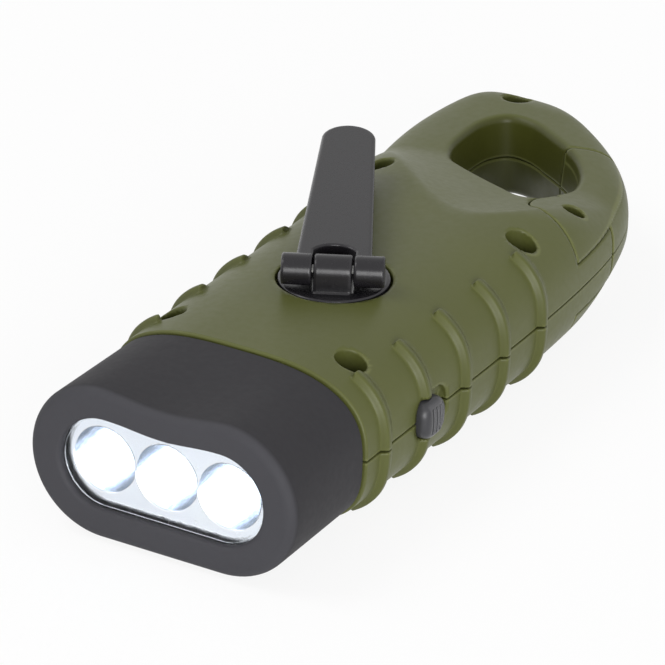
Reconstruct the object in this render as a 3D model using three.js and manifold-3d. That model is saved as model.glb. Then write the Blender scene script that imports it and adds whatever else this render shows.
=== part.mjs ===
// Hand crank flashlight with a spring gate loop, in millimetres.
// +Z is up and the crank is on top. The lens faces -Y, and the switch and the gate are on +X.
// The origin is on the flat underside, straight below the axis that the crank turns about.
// Sizes are driving dimensions. Heights named "...Z" are measured from the parting plane.
import * as THREE from 'three';
import { mergeVertices } from 'three/addons/utils/BufferGeometryUtils.js';
import Module from 'manifold-3d';

const wasm = await Module();
wasm.setup();

// Fits and overruns
const fit = 0.3; // gap kept between pieces that touch
const halfFit = fit / 2;
const overrun = 5; // how far a cutter runs past what it cuts
const roundShare = 0.99; // of a faceted bore's radius that stays clear of what turns or sits in it
const mergeShare = 1e-6; // of the body's width, under which points count as one
const degree = Math.PI / 180;

// Housing
const bodyWidth = 44;
const bodyHeight = 26.4;
const crownPower = 2.8; // of the superellipse that is the body's section
const wall = 2;
const seamY = -27.5; // where the shells meet the bezel
const tailY = 91.3;
const restCut = 0.4; // how much the underside is flattened
const halfWidth = bodyWidth / 2;
const halfHeight = bodyHeight / 2;
const partingZ = halfHeight - restCut; // height of the parting plane over the rest face
const cavityEndY = 36;
const lipThickness = 0.9;
const lipHeight = 1.5;

// Tail: the top drops from the crown to the ring
const creaseY = 33;
const ringHalfHeight = 7.3;
const ringBarrelHeight = 9.2; // crown of the section behind the slope, before the ring's flat top
const slopeEndY = 60;
const slopeLength = 16;
const slopeDrop = 4.3;
const creaseSkewShare = 0.15; // how far the slope leans to -X
const tailRound = 9;
const ringBlend = 3.4;
const creaseBlend = 0.5;
const tailPower = 2.3;

// Loop hole
const rimRound = 1.8;

// Gate
const gateX = 15.3;
const gateY = 47.9;
const noseRadius = 7;
const tongueHalfHeight = 4.4;
const seamFrontX = 20.6;
const seamFrontY = 36.6;
const gateReach = 28.2; // from the pivot to the free end
const noseEndTurn = 165 * degree; // where the nose's arc runs out into the hole
const gateSwing = 25 * degree; // how far the gate opens into the hole
const seamGapTurn = 4 * degree;
const seamExitLength = 4;
const freeEndTurn = 122 * degree;
const outerTurn = 50 * degree;
const gateHeadSeatZ = 6.2;
const gateHeadHeight = 1.2;
const gateScrewEndZ = -7.6;
const gateRecessRadius = 2;
const gateScrewRadius = 1.4;
const springPocketRadius = 4.6;
const springRadius = 3.4;
const springWire = 0.6;
const springTurns = 2.5;
const springPocketHalfHeight = 2.4;

// Grip ribs
const ribCount = 5;
const ribPitch = 12.2;
const firstRibY = -21.9;
const ribHeight = 1;
const ribFoot = 3;
const ribFront = 0.5;
const ribTopX = 16.5;

// Screws of the housing, in shares of half width and tail length
const screwShares = {
  shell_screw_front_right: [0.66, -0.217],
  shell_screw_front_left: [-0.66, -0.217],
  shell_screw_mid_right: [0.7, 0.334],
  shell_screw_mid_left: [-0.745, 0.487],
  shell_screw_tail: [-0.69, 0.935],
};
const recessRadius = 2.45;
const headRadius = 1.9;
const headHeight = 1.6;
const flatHeadHeight = 1;
const crankHeadRadius = 3;
const headSeatZ = 3;
const screwRadius = 1;
const pilotRadius = 1.3;
const screwLength = 8;
const bossRadius = 3.7;
const slotWidth = 0.5;
const slotDepth = 0.6;
const slotShare = 0.75; // how far the recess reaches over the head

// Bezel, lens and lamp
const frontY = -49.2;
const faceHalfWidth = 21.95;
const faceHalfHeight = 11.8;
const facePinchShare = 0.087; // how far the middle of the face is drawn in
const faceRound = 1.7;
const bezelStep = 0.35; // the shells stand this much proud of the bezel
const bezelWall = 2.2;
const openingHalfWidth = 17.7;
const openingHalfHeight = 7.3;
const openingChamfer = 0.8;
const bezelLip = 1.4;
const pocketMargin = 0.9; // how much wider the lens pocket is than the opening
const lensThickness = 1.5;
const reflectorDepth = 9.6;
const boardThickness = 1.4;
const cupPitch = 10.9;
const cupRadius = 5.2;
const cupDepth = 7.4;
const ledRadius = 2.5;
const ledFlangeRadius = 2.9;
const ledFlangeHeight = 1;
const ledBodyHeight = 4.2;

const lensFrontY = frontY + bezelLip + fit;
const lensBackY = lensFrontY + lensThickness;
const reflectorFrontY = lensBackY + fit;
const reflectorBackY = reflectorFrontY + reflectorDepth;
const lampBoardFrontY = reflectorBackY + fit;
const lampBoardBackY = lampBoardFrontY + boardThickness;
const neckFrontY = lampBoardBackY + fit;

// Crank
const discRadius = 8.8;
const recessMargin = 0.5;
const discThickness = 1.5;
const discTopZ = 13.1;
const recessFloor = 1.7;
const stemRadius = 2.4;
const stemSquare = 3.6;
const bushRadius = 4.6;
const bushLength = 4;
const hingeOffset = 3.6; // from the crank axis to the hinge pin, away from the arm
const hingeZ = 15.9;
const hingeRadius = 2.4;
const hingePinRadius = 0.8;
const centreKnuckle = 5.7;
const outerKnuckle = 4.6;
const armHeading = 28.5 * degree; // from +Y towards -X
const armTilt = 5 * degree;
const armLength = 45.5;
const armBaseHalfWidth = 5.8;
const armTipHalfWidth = 4.4;
const armThickness = 2.2;
const armTop = 1.4; // of the plate, over the hinge axis
const armEdgeRound = 0.6;
const slotReach = 5.4; // from the hinge axis to the arched end of the slot
const knobRadius = 3.8;
const knobHeight = 4.3;
const knobInset = 6; // from the arm's tip
const pegRadius = 1.5;
const knobSink = 1.2; // how deep the knob's screw sits
const knobHeadRadius = 1.9;
const knobPilotRadius = 0.9;
const knobScrewLength = 2.6;

// Gear train
const pressureAngle = 20 * degree;
const toothRelief = 0.14; // taken off each flank
const rootShare = 1.25; // of the module, below the pitch circle
const tipShare = 0.9;
const coarseModule = 0.8;
const fineModule = 0.6;
const driveTeeth = 40;
const pinionTeeth = 12;
const wheelTeeth = 36;
const secondWheelTeeth = 30;
const rotorTeeth = 10;
const idlerAngle = 90 * degree;
const secondAngle = -115 * degree;
const rotorAngle = -60 * degree;
const driveZ = 4.5;
const driveThickness = 2.5;
const wheelThickness = 2;
const pinionOverhang = 0.3;
const wheelZ = 1.4;
const secondWheelZ = -1.5;
const axleRadius = 0.9;
const flangeRadius = 1.8;
const plateTopZ = -2.7;
const plateThickness = 1.2;

// Generator
const statorRadius = 8.4;
const statorHeight = 6;
const statorBottomZ = -10.3;
const poleCount = 6;
const poleWall = 0.8;
const magnetRadius = 4.2;
const airGap = 0.5;
const shaftRadius = 0.7;
const seatHeight = 2;
const bearingRadius = 2.2;
const bearingTopZ = -9.8;
const shaftEndZ = -10.7;
const plateHalfWidth = 16;
const plateFrontY = -8;
const plateBackY = 26;
const plateShares = [[-0.6, 0], [0.6, 0], [1, 0.3], [1, 0.5], [0.3, 1], [-1.12, 1], [-1.12, 0.75], [-0.7, 0.35]];
const platePostShares = [[0.825, 0.4], [-0.94, 0.88]];
const platePostRadius = 2.3;
const plateScrewLength = 5;
const seatWall = 1.1;

// Electronics
const boardWidth = 23;
const boardLength = 20;
const boardStartY = 13.5;
const boardTopZ = -8.4;
const cellRadius = 9.5;
const cellHeight = 3.2;
const clipThickness = 0.5;
const clipWidth = 5;
const capacitorRadius = 1.9;
const capacitorHeight = 3.6;

// Slide switch
const switchY = -9.8;
const switchTravel = 3;
const capLength = 5.6;
const capHeight = 6.2;
const capThickness = 2.6;
const capRise = 2; // how far the cap stands out of the body's side
const gripCount = 4;
const gripWidth = 0.45;
const gripDepth = 0.4;
const neckHeight = 2.4;
const neckWidth = 2.6;
const carriageLength = 6.4;
const carriageHeight = 4.6;
const carriageThickness = 1.1;
const switchLength = 9.4;
const switchHeight = 4.8;
const switchDepth = 4;

// Materials
const paint = (color, roughness, metalness = 0) =>
  new THREE.MeshStandardMaterial({ color, roughness, metalness });
const olive = paint(0x666a4a, 0.5);
const rubber = paint(0x464648, 0.85);
const blackPlastic = paint(0x4b494e, 0.35);
const greyPlastic = paint(0x5a5a5c, 0.45);
const clear = paint(0xe8f0f4, 0.05);
const chrome = paint(0xd8dadc, 0.12, 1);
const led = paint(0xfbfcff, 0.2);
const steel = paint(0xb8babc, 0.3, 1);
const acetal = paint(0xe4e1d6, 0.5);
const board = paint(0x2f6b45, 0.6);
const copper = paint(0xb46a3c, 0.4, 1);
const magnetBlack = paint(0x2c2c2e, 0.5);

// Helpers: solids in and out of manifold-3d

/** A closed geometry as a solid that can be joined and cut. */
function solid(geometry) {
  const bare = geometry.clone();
  for (const name of Object.keys(bare.attributes)) {
    if (name !== 'position') bare.deleteAttribute(name);
  }
  const merged = mergeVertices(bare, mergeShare * bodyWidth);
  return new wasm.Manifold(new wasm.Mesh({
    numProp: 3,
    vertProperties: new Float32Array(merged.attributes.position.array),
    triVerts: new Uint32Array(merged.index.array),
  }));
}

/** A solid back as a named mesh. */
function piece(name, body, material) {
  const { vertProperties, triVerts } = body.getMesh();
  const geometry = new THREE.BufferGeometry();
  geometry.setAttribute('position', new THREE.BufferAttribute(new Float32Array(vertProperties), 3));
  geometry.setIndex(new THREE.BufferAttribute(new Uint32Array(triVerts), 1));
  geometry.computeVertexNormals();
  const mesh = new THREE.Mesh(geometry, material);
  mesh.name = name;
  return mesh;
}

/** Places on the gear plate from shares of its half width and length. */
function onPlate(shares) {
  return shares.map(([x, y]) => [x * plateHalfWidth, lerp(plateFrontY, plateBackY, y)]);
}

/** The solid through closed rings of equal counts, capped at both ends from the ring's middle. */
function loft(rings) {
  const count = rings[0].length;
  const position = rings.flat(2);
  const index = [];
  for (let r = 0; r + 1 < rings.length; r++) {
    for (let k = 0; k < count; k++) {
      const next = (k + 1) % count;
      const [a, b] = [r * count + k, r * count + next];
      index.push(a, b, b + count, a, b + count, a + count);
    }
  }
  for (const [ring, start, flip] of [[rings[0], 0, true], [rings.at(-1), (rings.length - 1) * count, false]]) {
    const middle = [0, 1, 2].map((axis) => ring.reduce((sum, point) => sum + point[axis], 0) / count);
    const centre = position.length / 3;
    position.push(...middle);
    for (let k = 0; k < count; k++) {
      const pair = [start + k, start + ((k + 1) % count)];
      index.push(centre, ...(flip ? pair.reverse() : pair));
    }
  }
  const geometry = new THREE.BufferGeometry();
  geometry.setAttribute('position', new THREE.BufferAttribute(new Float32Array(position), 3));
  geometry.setIndex(index);
  const result = solid(geometry);
  return result.volume() < 0 ? solid(flipped(geometry)) : result;
}

/** The same geometry with its faces turned over. */
function flipped(geometry) {
  const turned = geometry.clone();
  const old = turned.index.array;
  const index = [];
  for (let i = 0; i < old.length; i += 3) index.push(old[i], old[i + 2], old[i + 1]);
  turned.setIndex(index);
  return turned;
}

/** An upright cylinder between two heights. */
function post(x, y, radius, low, high, sides = 24, topRadius = radius) {
  const geometry = new THREE.CylinderGeometry(topRadius, radius, high - low, sides);
  geometry.rotateX(Math.PI / 2);
  geometry.translate(x, y, (low + high) / 2);
  return solid(geometry);
}

/** A block between two corners. */
function block(x0, y0, z0, x1, y1, z1) {
  const geometry = new THREE.BoxGeometry(x1 - x0, y1 - y0, z1 - z0);
  geometry.translate((x0 + x1) / 2, (y0 + y1) / 2, (z0 + z1) / 2);
  return solid(geometry);
}

/** An outline in the XY plane as a prism between two heights. */
function prism(points, low, high, bevel = 0) {
  const shape = new THREE.Shape(points.map(([x, y]) => new THREE.Vector2(x, y)));
  const geometry = new THREE.ExtrudeGeometry(shape, {
    depth: high - low - 2 * bevel,
    bevelEnabled: bevel > 0,
    bevelSize: bevel,
    bevelOffset: -bevel,
    bevelThickness: bevel,
    bevelSegments: 2,
    steps: 1,
  });
  geometry.translate(0, 0, low + bevel);
  return solid(geometry);
}

/** A solid of revolution about the Z axis through [radius, height] points, closed on the axis. */
function turned(profile, segments = 28) {
  const geometry = new THREE.LatheGeometry(profile.map(([r, z]) => new THREE.Vector2(r, z)), segments);
  geometry.rotateX(Math.PI / 2);
  const result = solid(geometry);
  return result.volume() < 0 ? solid(flipped(indexed(geometry))) : result;
}

/** A geometry with merged vertices and an index. */
function indexed(geometry) {
  const bare = geometry.clone();
  bare.deleteAttribute('normal');
  bare.deleteAttribute('uv');
  return mergeVertices(bare, mergeShare * bodyWidth);
}

/** All solids of a list as one. */
function union(list) {
  return list.reduce((sum, next) => sum.add(next));
}

const lerp = THREE.MathUtils.lerp;
const clamp = THREE.MathUtils.clamp;
const smoothstep = THREE.MathUtils.smoothstep;

/** The lower of two heights, rounded over the reach of the blend. */
function softMin(a, b, blend) {
  const overlap = Math.max(blend - Math.abs(a - b), 0) / blend;
  return Math.min(a, b) - (overlap * overlap * blend) / 4;
}

// The housing's form

/** The plan of the housing, from the front left round the tail, in shares of half width and tail length. */
const planShares = [
  [-1, -0.5], [-1, -0.3], [-1, -0.1], [-1, 0.1], [-1.005, 0.25], [-1.04, 0.4], [-1.12, 0.53], [-1.2, 0.64],
  [-1.24, 0.73], [-1.235, 0.81], [-1.18, 0.89], [-1.07, 0.955], [-0.92, 0.99], [-0.73, 1], [-0.5, 0.987],
  [-0.25, 0.955], [0.02, 0.912], [0.26, 0.866], [0.47, 0.815], [0.65, 0.755], [0.78, 0.69], [0.89, 0.59],
  [0.955, 0.46], [0.99, 0.3], [1, 0.1], [1, -0.1], [1, -0.3], [1, -0.5],
];
const planCurve = new THREE.SplineCurve(planShares.map(([x, y]) => new THREE.Vector2(x * halfWidth, y * tailY)));
const planPoints = planCurve.getPoints(planShares.length * 14);
const planTip = planPoints.reduce((best, point, i) => (point.y > planPoints[best].y ? i : best), 0);
const planSides = {
  left: planPoints.slice(0, planTip + 1),
  right: planPoints.slice(planTip).reverse(),
};
const tipY = planPoints[planTip].y;
const tipX = planPoints[planTip].x;

/** Where one side of the plan is at a given Y. */
function planX(side, y) {
  const points = planSides[side];
  const at = points.findIndex((point) => point.y >= y);
  if (at < 0) return tipX;
  if (at === 0) return points[0].x;
  const [a, b] = [points[at - 1], points[at]];
  return lerp(a.x, b.x, (y - a.y) / (b.y - a.y));
}

/** Height of the tail's top surface over the parting plane, at a distance behind the crease. */
function slopeHeight(behind) {
  const straight = halfHeight - (slopeDrop * behind) / slopeLength;
  const ringTop = -softMin(-straight, -ringHalfHeight, ringBlend);
  return softMin(halfHeight, ringTop, creaseBlend);
}

/** The crown of the section at a given Y. */
function barrelHeight(y) {
  return lerp(halfHeight, ringBarrelHeight, smoothstep(y, creaseY, slopeEndY));
}

/** One ring of the housing's half, over the parting plane, with an inset for walls. */
function halfRing(y, inset, base, across, warp) {
  const left = planX('left', y) + inset;
  const right = planX('right', y) - inset;
  const middle = (left + right) / 2;
  const half = (right - left) / 2;
  const crown = barrelHeight(y) - inset;
  const tail = clamp((y - (tipY - tailRound)) / tailRound, 0, 1);
  const ending = Math.pow(Math.max(1 - Math.pow(tail, tailPower), 0), 1 / tailPower);
  const ring = [];
  for (let k = 0; k <= across; k++) {
    const turn = (Math.PI * k) / across;
    const cos = Math.cos(turn);
    const x = middle + half * Math.sign(cos) * Math.pow(Math.abs(cos), 2 / crownPower);
    const dome = crown * Math.pow(Math.abs(Math.sin(turn)), 2 / crownPower);
    const fallBack = ((halfHeight - inset - dome) * slopeLength) / slopeDrop - creaseSkewShare * x;
    const shift = warp * slopeLength * (1 - Math.exp(-Math.max(fallBack, 0) / slopeLength));
    const behind = y + shift + creaseSkewShare * x - creaseY;
    const top = slopeHeight(behind) - inset;
    const blend = lerp(creaseBlend, ringBlend, smoothstep(y, creaseY + slopeLength, slopeEndY));
    const height = softMin(dome, top, blend) * ending;
    ring.push([x, y + shift, Math.max(height, base)]);
  }
  return ring;
}

/** The stations along Y, with how far each row bends to follow the crease. */
function stations(fromY, detail) {
  const straightEnd = creaseY - slopeLength;
  const ringEnd = tipY - tailRound;
  const spans = [
    [fromY, straightEnd, Math.ceil(3 * detail), 0, 0],
    [straightEnd, creaseY, Math.ceil(3 * detail), 0, 1],
    [creaseY, slopeEndY, Math.ceil(6 * detail), 1, 0],
    [slopeEndY, ringEnd, Math.ceil(4 * detail), 0, 0],
  ];
  const rows = [];
  for (const [low, high, steps, warpLow, warpHigh] of spans) {
    for (let i = 0; i < steps; i++) rows.push([lerp(low, high, i / steps), lerp(warpLow, warpHigh, i / steps)]);
  }
  const endSteps = Math.ceil(7 * detail);
  const almostEnd = 0.495 * Math.PI;
  for (let i = 0; i <= endSteps; i++) rows.push([ringEnd + tailRound * Math.sin((i / endSteps) * almostEnd), 0]);
  return rows;
}

/** The upper half of the housing's form as a solid that stands on the height base. */
function halfForm({ inset = 0, base = 0, from = seamY, to = tipY, across = 16, detail = 1 } = {}) {
  const rings = stations(from, detail)
    .filter(([y]) => y <= to)
    .map(([y, warp]) => [...halfRing(y, inset, base, across, warp)]
      .concat([[planX('left', y) + inset, y, base - fit], [planX('right', y) - inset, y, base - fit]]));
  const form = loft(rings);
  return form.intersect(block(-bodyWidth, 2 * frontY, base, bodyWidth, 2 * tailY, bodyHeight));
}

/** The hollow of one half. */
function cavityForm() {
  const form = halfForm({ inset: wall, base: -overrun, from: seamY + wall, to: cavityEndY, across: 8, detail: 0.4 });
  return form.intersect(block(-bodyWidth, seamY, -overrun, bodyWidth, cavityEndY, bodyHeight));
}

/** A prism of the housing's plan between two heights, with an inset. */
function planPrism(inset, low, high, fromY, toY, steps = 4) {
  const rows = Array.from({ length: steps + 1 }, (_, i) => lerp(fromY, toY, i / steps));
  const right = rows.map((y) => [planX('right', y) - inset, y]);
  const left = rows.map((y) => [planX('left', y) + inset, y]).reverse();
  return prism([...right, ...left], low, high);
}

/** A solid turned upside down about the parting plane. */
function mirrored(body) {
  return body.mirror([0, 0, 1]);
}

// The loop's hole

/** Rim of the loop's hole at the top, in shares of half width and tail length. */
const holeShares = [
  [0.37, 0.578], [0.4, 0.64], [0.33, 0.7], [0.17, 0.755], [0.02, 0.786], [-0.16, 0.814], [-0.38, 0.843],
  [-0.55, 0.845], [-0.65, 0.81], [-0.67, 0.75], [-0.64, 0.69], [-0.55, 0.647], [-0.38, 0.613],
  [-0.16, 0.584], [0.08, 0.558], [0.25, 0.542], [0.33, 0.55],
];
const holeCurve = new THREE.CatmullRomCurve3(
  holeShares.map(([x, y]) => new THREE.Vector3(x * halfWidth, y * tailY, 0)), true, 'centripetal');

/** The hole's outline, moved outwards. */
function holeOutline(outwards, count = 28) {
  return Array.from({ length: count }, (_, i) => {
    const at = holeCurve.getPoint(i / count);
    const along = holeCurve.getTangent(i / count);
    return [at.x + along.y * outwards, at.y - along.x * outwards];
  });
}

/** The cutter of the hole for the upper half, flared at the rim. */
function holeCutter() {
  const levels = [[0, null]];
  const rimSteps = 2;
  for (let i = 0; i <= rimSteps; i++) {
    const turn = (i / rimSteps) * (Math.PI / 2);
    levels.push([rimRound * (1 - Math.cos(turn)), rimRound * (1 - Math.sin(turn))]);
  }
  const rings = levels.map(([out, depth]) => holeOutline(out).map(([x, y]) => {
    const top = slopeHeight(y + creaseSkewShare * x - creaseY);
    return [x, y, depth === null ? -overrun : top - depth];
  }));
  rings.push(holeOutline(rimRound).map(([x, y]) => [x, y, bodyHeight]));
  return loft(rings);
}

// The gate's seams, as plan outlines

/** Points of an arc about the gate's pivot. */
function pivotArc(radius, from, to, steps) {
  return Array.from({ length: steps + 1 }, (_, i) => {
    const turn = lerp(from, to, i / steps);
    return [gateX + radius * Math.cos(turn), gateY + radius * Math.sin(turn)];
  });
}

/** Where the seam leaves the nose's arc and runs straight out into the hole. */
function seamExit(radius, turn, margin) {
  const [cos, sin] = [Math.cos(turn), Math.sin(turn)];
  return [gateX + radius * cos + margin * sin, gateY + radius * sin - margin * cos];
}

/** The part of the plan that belongs to the gate's cheeks, shrunk or grown by a margin. */
function cheekPlan(margin, noseEnd) {
  const toFrontX = seamFrontX - gateX;
  const toFrontY = seamFrontY - gateY;
  const distance = Math.hypot(toFrontX, toFrontY);
  const tangentTurn = Math.atan2(toFrontY, toFrontX) - Math.acos(noseRadius / distance);
  const reach = gateReach - margin;
  const corner = [seamFrontX - margin * Math.cos(tangentTurn), seamFrontY - margin * Math.sin(tangentTurn)];
  return [
    ...pivotArc(noseRadius - margin, tangentTurn + 2 * Math.PI, noseEnd + seamGapTurn, 8),
    seamExit(noseRadius - margin, noseEnd, margin),
    seamExit(noseRadius + seamExitLength, noseEnd, margin),
    ...pivotArc(reach, freeEndTurn, outerTurn, 8),
    [gateX + reach, gateY],
    [corner[0] + overrun, corner[1]],
    corner,
  ];
}

/** The part of the plan that belongs to the gate behind the tongue. */
function middlePlan(margin, noseEnd) {
  return [
    ...pivotArc(noseRadius + halfFit + margin, 0, noseEnd - seamGapTurn, 8),
    seamExit(noseRadius + halfFit + margin, noseEnd, margin),
    seamExit(noseRadius + seamExitLength, noseEnd, margin),
    ...pivotArc(gateReach - margin, freeEndTurn, 0, 10),
  ];
}

/** The gate's space over the parting plane: its cheek over the tongue and its middle behind it. */
function gateSpace(margin, noseEnd) {
  const cheek = prism(cheekPlan(margin, noseEnd), tongueHalfHeight + margin, bodyHeight);
  const middle = prism(middlePlan(margin, noseEnd), -overrun, tongueHalfHeight + fit);
  return cheek.add(middle);
}

// Housing pieces

const hole = holeCutter();

/** Cutters of one screw: its recess and its clearance hole. */
function screwCutters(x, y) {
  return [
    post(x, y, recessRadius, headSeatZ, bodyHeight, 14),
    post(x, y, pilotRadius + halfFit, -overrun, bodyHeight, 8),
  ];
}

/** Ribs over the side of one half. */
function ribs() {
  const across = 8;
  const list = [];
  for (let i = 0; i < ribCount; i++) {
    const y = firstRibY + i * ribPitch;
    const grown = (at, by) => [...halfRing(at, -by, 0, across, 0)]
      .concat([[-halfWidth, at, -fit], [halfWidth, at, -fit]]);
    list.push(loft([grown(y - ribFront, -fit), grown(y, ribHeight), grown(y + ribFront, ribHeight),
      grown(y + ribFoot, -fit)]));
  }
  const middle = block(-ribTopX, 2 * frontY, -overrun, ribTopX, tailY, bodyHeight);
  const below = block(-bodyWidth, 2 * frontY, -overrun, bodyWidth, tailY, 0);
  return union(list).subtract(middle).subtract(below);
}

/** The neck that the bezel slips over. */
function neckForm(inset, base) {
  const y = [neckFrontY, seamY + overrun];
  const rings = y.map((at) => halfRing(seamY, inset, base, 12, 0).map(([x, , z]) => [x, at, z])
    .concat([[-halfWidth + inset, at, base - fit], [halfWidth - inset, at, base - fit]]));
  return loft(rings).intersect(block(-bodyWidth, 2 * frontY, base, bodyWidth, 0, bodyHeight));
}

/** What both halves share: the form, its ribs, neck, hole and cavity. */
function halfShell() {
  const neckInset = bezelStep + bezelWall + fit;
  return halfForm({ base: halfFit })
    .add(ribs().subtract(block(-bodyWidth, 2 * frontY, -overrun, bodyWidth, tailY, halfFit)))
    .add(neckForm(neckInset, halfFit))
    .subtract(hole)
    .subtract(cavityForm())
    .subtract(neckForm(neckInset + wall, -overrun))
    .subtract(neckForm(neckInset + wall, -overrun).translate([0, -overrun, 0]));
}

/** The slot of the slide switch, cut through both shells. */
function switchSlot() {
  const low = switchY - neckWidth / 2 - fit;
  const high = switchY + neckWidth / 2 + fit + switchTravel;
  const neck = block(halfWidth - 2 * wall, low, -neckHeight / 2 - fit, halfWidth + overrun, high, neckHeight / 2 + fit);
  const room = capLength / 2 + fit;
  const pocket = prism(
    ovalPoints(switchY - room, switchY + room + switchTravel, capHeight / 2 + fit), 0, overrun + capThickness);
  const sideways = pocket.rotate([0, 90, 0]).translate([halfWidth + capRise - capThickness - fit, 0, 0]);
  return neck.add(sideways);
}

/** An oval from one Y to another, with its width along X. */
function ovalPoints(low, high, half, steps = 8) {
  const points = [];
  const round = Math.min(half, (high - low) / 2) * 0.8;
  for (const [x, y, from] of [[half, low, -90], [half, high, 0], [-half, high, 90], [-half, low, 180]]) {
    const cx = x - Math.sign(x) * round;
    const cy = y === low ? low + round : high - round;
    for (let i = 0; i <= steps; i++) {
      const turn = (from + (90 * i) / steps) * degree;
      points.push([cx + round * Math.cos(turn), cy + round * Math.sin(turn)]);
    }
  }
  return points;
}

const screwPlaces = Object.entries(screwShares).map(([name, [x, y]]) => [name, x * halfWidth, y * tailY]);
const platePosts = onPlate(platePostShares);
const recessFloorZ = discTopZ - discThickness - fit;
const idler = [pitchSum(coarseModule, driveTeeth, pinionTeeth), idlerAngle];
const idlerX = idler[0] * Math.cos(idler[1]);
const idlerY = idler[0] * Math.sin(idler[1]);
const secondDistance = pitchSum(fineModule, wheelTeeth, pinionTeeth);
const secondX = idlerX + secondDistance * Math.cos(secondAngle);
const secondY = idlerY + secondDistance * Math.sin(secondAngle);
const rotorDistance = pitchSum(fineModule, secondWheelTeeth, rotorTeeth);
const rotorX = secondX + rotorDistance * Math.cos(rotorAngle);
const rotorY = secondY + rotorDistance * Math.sin(rotorAngle);

/** Distance between the axes of two gears. */
function pitchSum(module, teethA, teethB) {
  return (module * (teethA + teethB)) / 2;
}

/** The shell on the crank's side. */
function upperShell() {
  let shell = halfShell();
  const inside = halfForm({ inset: wall / 2, base: halfFit, across: 8, detail: 0.4 });
  const bosses = screwPlaces
    .filter(([, , y]) => y < cavityEndY)
    .map(([, x, y]) => post(x, y, bossRadius, halfFit, bodyHeight, 10));
  bosses.push(post(0, 0, discRadius + 2 * recessMargin + wall / 2, recessFloorZ - recessFloor, bodyHeight, 20));
  bosses.push(post(0, 0, bushRadius, recessFloorZ - recessFloor - bushLength + wall, bodyHeight, 18));
  bosses.push(post(idlerX, idlerY, flangeRadius + halfFit, driveZ + driveThickness + 3 * fit, bodyHeight, 12));
  shell = shell.add(union(bosses).intersect(inside));
  shell = shell.subtract(union(screwPlaces.flatMap(([, x, y]) => screwCutters(x, y))));
  const rebate = planPrism(wall - lipThickness - fit, -overrun, lipHeight + fit, seamY + wall, cavityEndY - wall);
  return shell
    .subtract(rebate.subtract(union(bosses)))
    .subtract(post(0, 0, discRadius + recessMargin, recessFloorZ, bodyHeight, 40))
    .subtract(post(0, 0, stemRadius + fit, -overrun, bodyHeight, 16))
    .subtract(post(idlerX, idlerY, axleRadius + fit, -overrun, driveZ + driveThickness + 2 * wall, 16))
    .subtract(gateSpace(-halfFit, noseEndTurn))
    .subtract(tongueBore())
    .subtract(switchSlot());
}

/** Pivot bore and spring pocket in the tongue. */
function tongueBore() {
  return post(gateX, gateY, gateScrewRadius + fit, -bodyHeight, bodyHeight, 20)
    .add(post(gateX, gateY, springPocketRadius, -springPocketHalfHeight, springPocketHalfHeight, 24));
}

/** The shell underneath, with the flat that the light rests on. */
function lowerShell() {
  let shell = halfShell();
  const inside = halfForm({ inset: wall / 2, base: halfFit, across: 8, detail: 0.4 });
  const inner = [];
  for (const [, x, y] of screwPlaces) {
    if (y < cavityEndY) inner.push(post(x, y, bossRadius - halfFit, halfFit, bodyHeight, 10));
  }
  const seatTop = -statorBottomZ - seatHeight;
  inner.push(post(rotorX, rotorY, statorRadius + fit + seatWall, seatTop, bodyHeight, 20)
    .subtract(post(rotorX, rotorY, (statorRadius + fit) / roundShare, -overrun, -statorBottomZ + fit, 20)));
  const boardUnderZ = -boardTopZ + boardThickness + fit;
  for (const y of [boardStartY + wall, boardStartY + boardLength - 2 * wall]) {
    inner.push(block(-boardWidth / 4, y, boardUnderZ, boardWidth / 4, y + wall, bodyHeight));
  }
  const switchFloor = switchHeight / 2 + fit;
  inner.push(block(switchInnerX(), switchY - switchLength / 2, switchFloor, switchInnerX() + switchDepth,
    switchY + switchLength / 2 + switchTravel, bodyHeight));
  for (const [x, y] of platePosts) {
    inner.push(post(x, y, platePostRadius, -plateTopZ + plateThickness + fit, bodyHeight, 12));
  }
  inner.push(post(rotorX, rotorY, bearingRadius, -bearingTopZ, bodyHeight, 12));
  shell = shell.add(union(inner).intersect(inside));
  const pilots = screwPlaces.map(([, x, y]) =>
    post(x, y, pilotRadius, -overrun, screwLength - headSeatZ + 2 * fit, 8));
  const platePilots = platePosts.map(([x, y]) =>
    post(x, y, screwRadius + fit, -overrun, -plateTopZ + plateScrewLength + fit, 10));
  platePilots.push(post(rotorX, rotorY, shaftRadius + fit, -overrun, -shaftEndZ + fit, 10));
  const lipFrom = seamY + wall + fit;
  const lipTo = cavityEndY - wall - fit;
  const lipOuter = planPrism(wall - lipThickness, -lipHeight, wall, lipFrom, lipTo);
  const lipInner = planPrism(wall, -overrun, overrun, lipFrom - overrun, lipTo + overrun);
  const keepClear = union(screwPlaces.map(([, x, y]) => post(x, y, bossRadius + fit, -overrun, overrun, 10)));
  const lip = lipOuter.subtract(lipInner).subtract(keepClear);
  shell = shell
    .subtract(union([...pilots, ...platePilots]))
    .subtract(gateSpace(-halfFit, noseEndTurn))
    .subtract(tongueBore())
    .subtract(switchSlot())
    .subtract(block(-bodyWidth, 2 * frontY, halfHeight - restCut, bodyWidth, tailY, bodyHeight));
  return mirrored(shell.add(lip.subtract(switchSlot())));
}

/** Inner face of the switch's body. */
function switchInnerX() {
  return halfWidth - wall - carriageThickness - 3 * fit - switchDepth;
}


// Bezel and lamp

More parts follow.
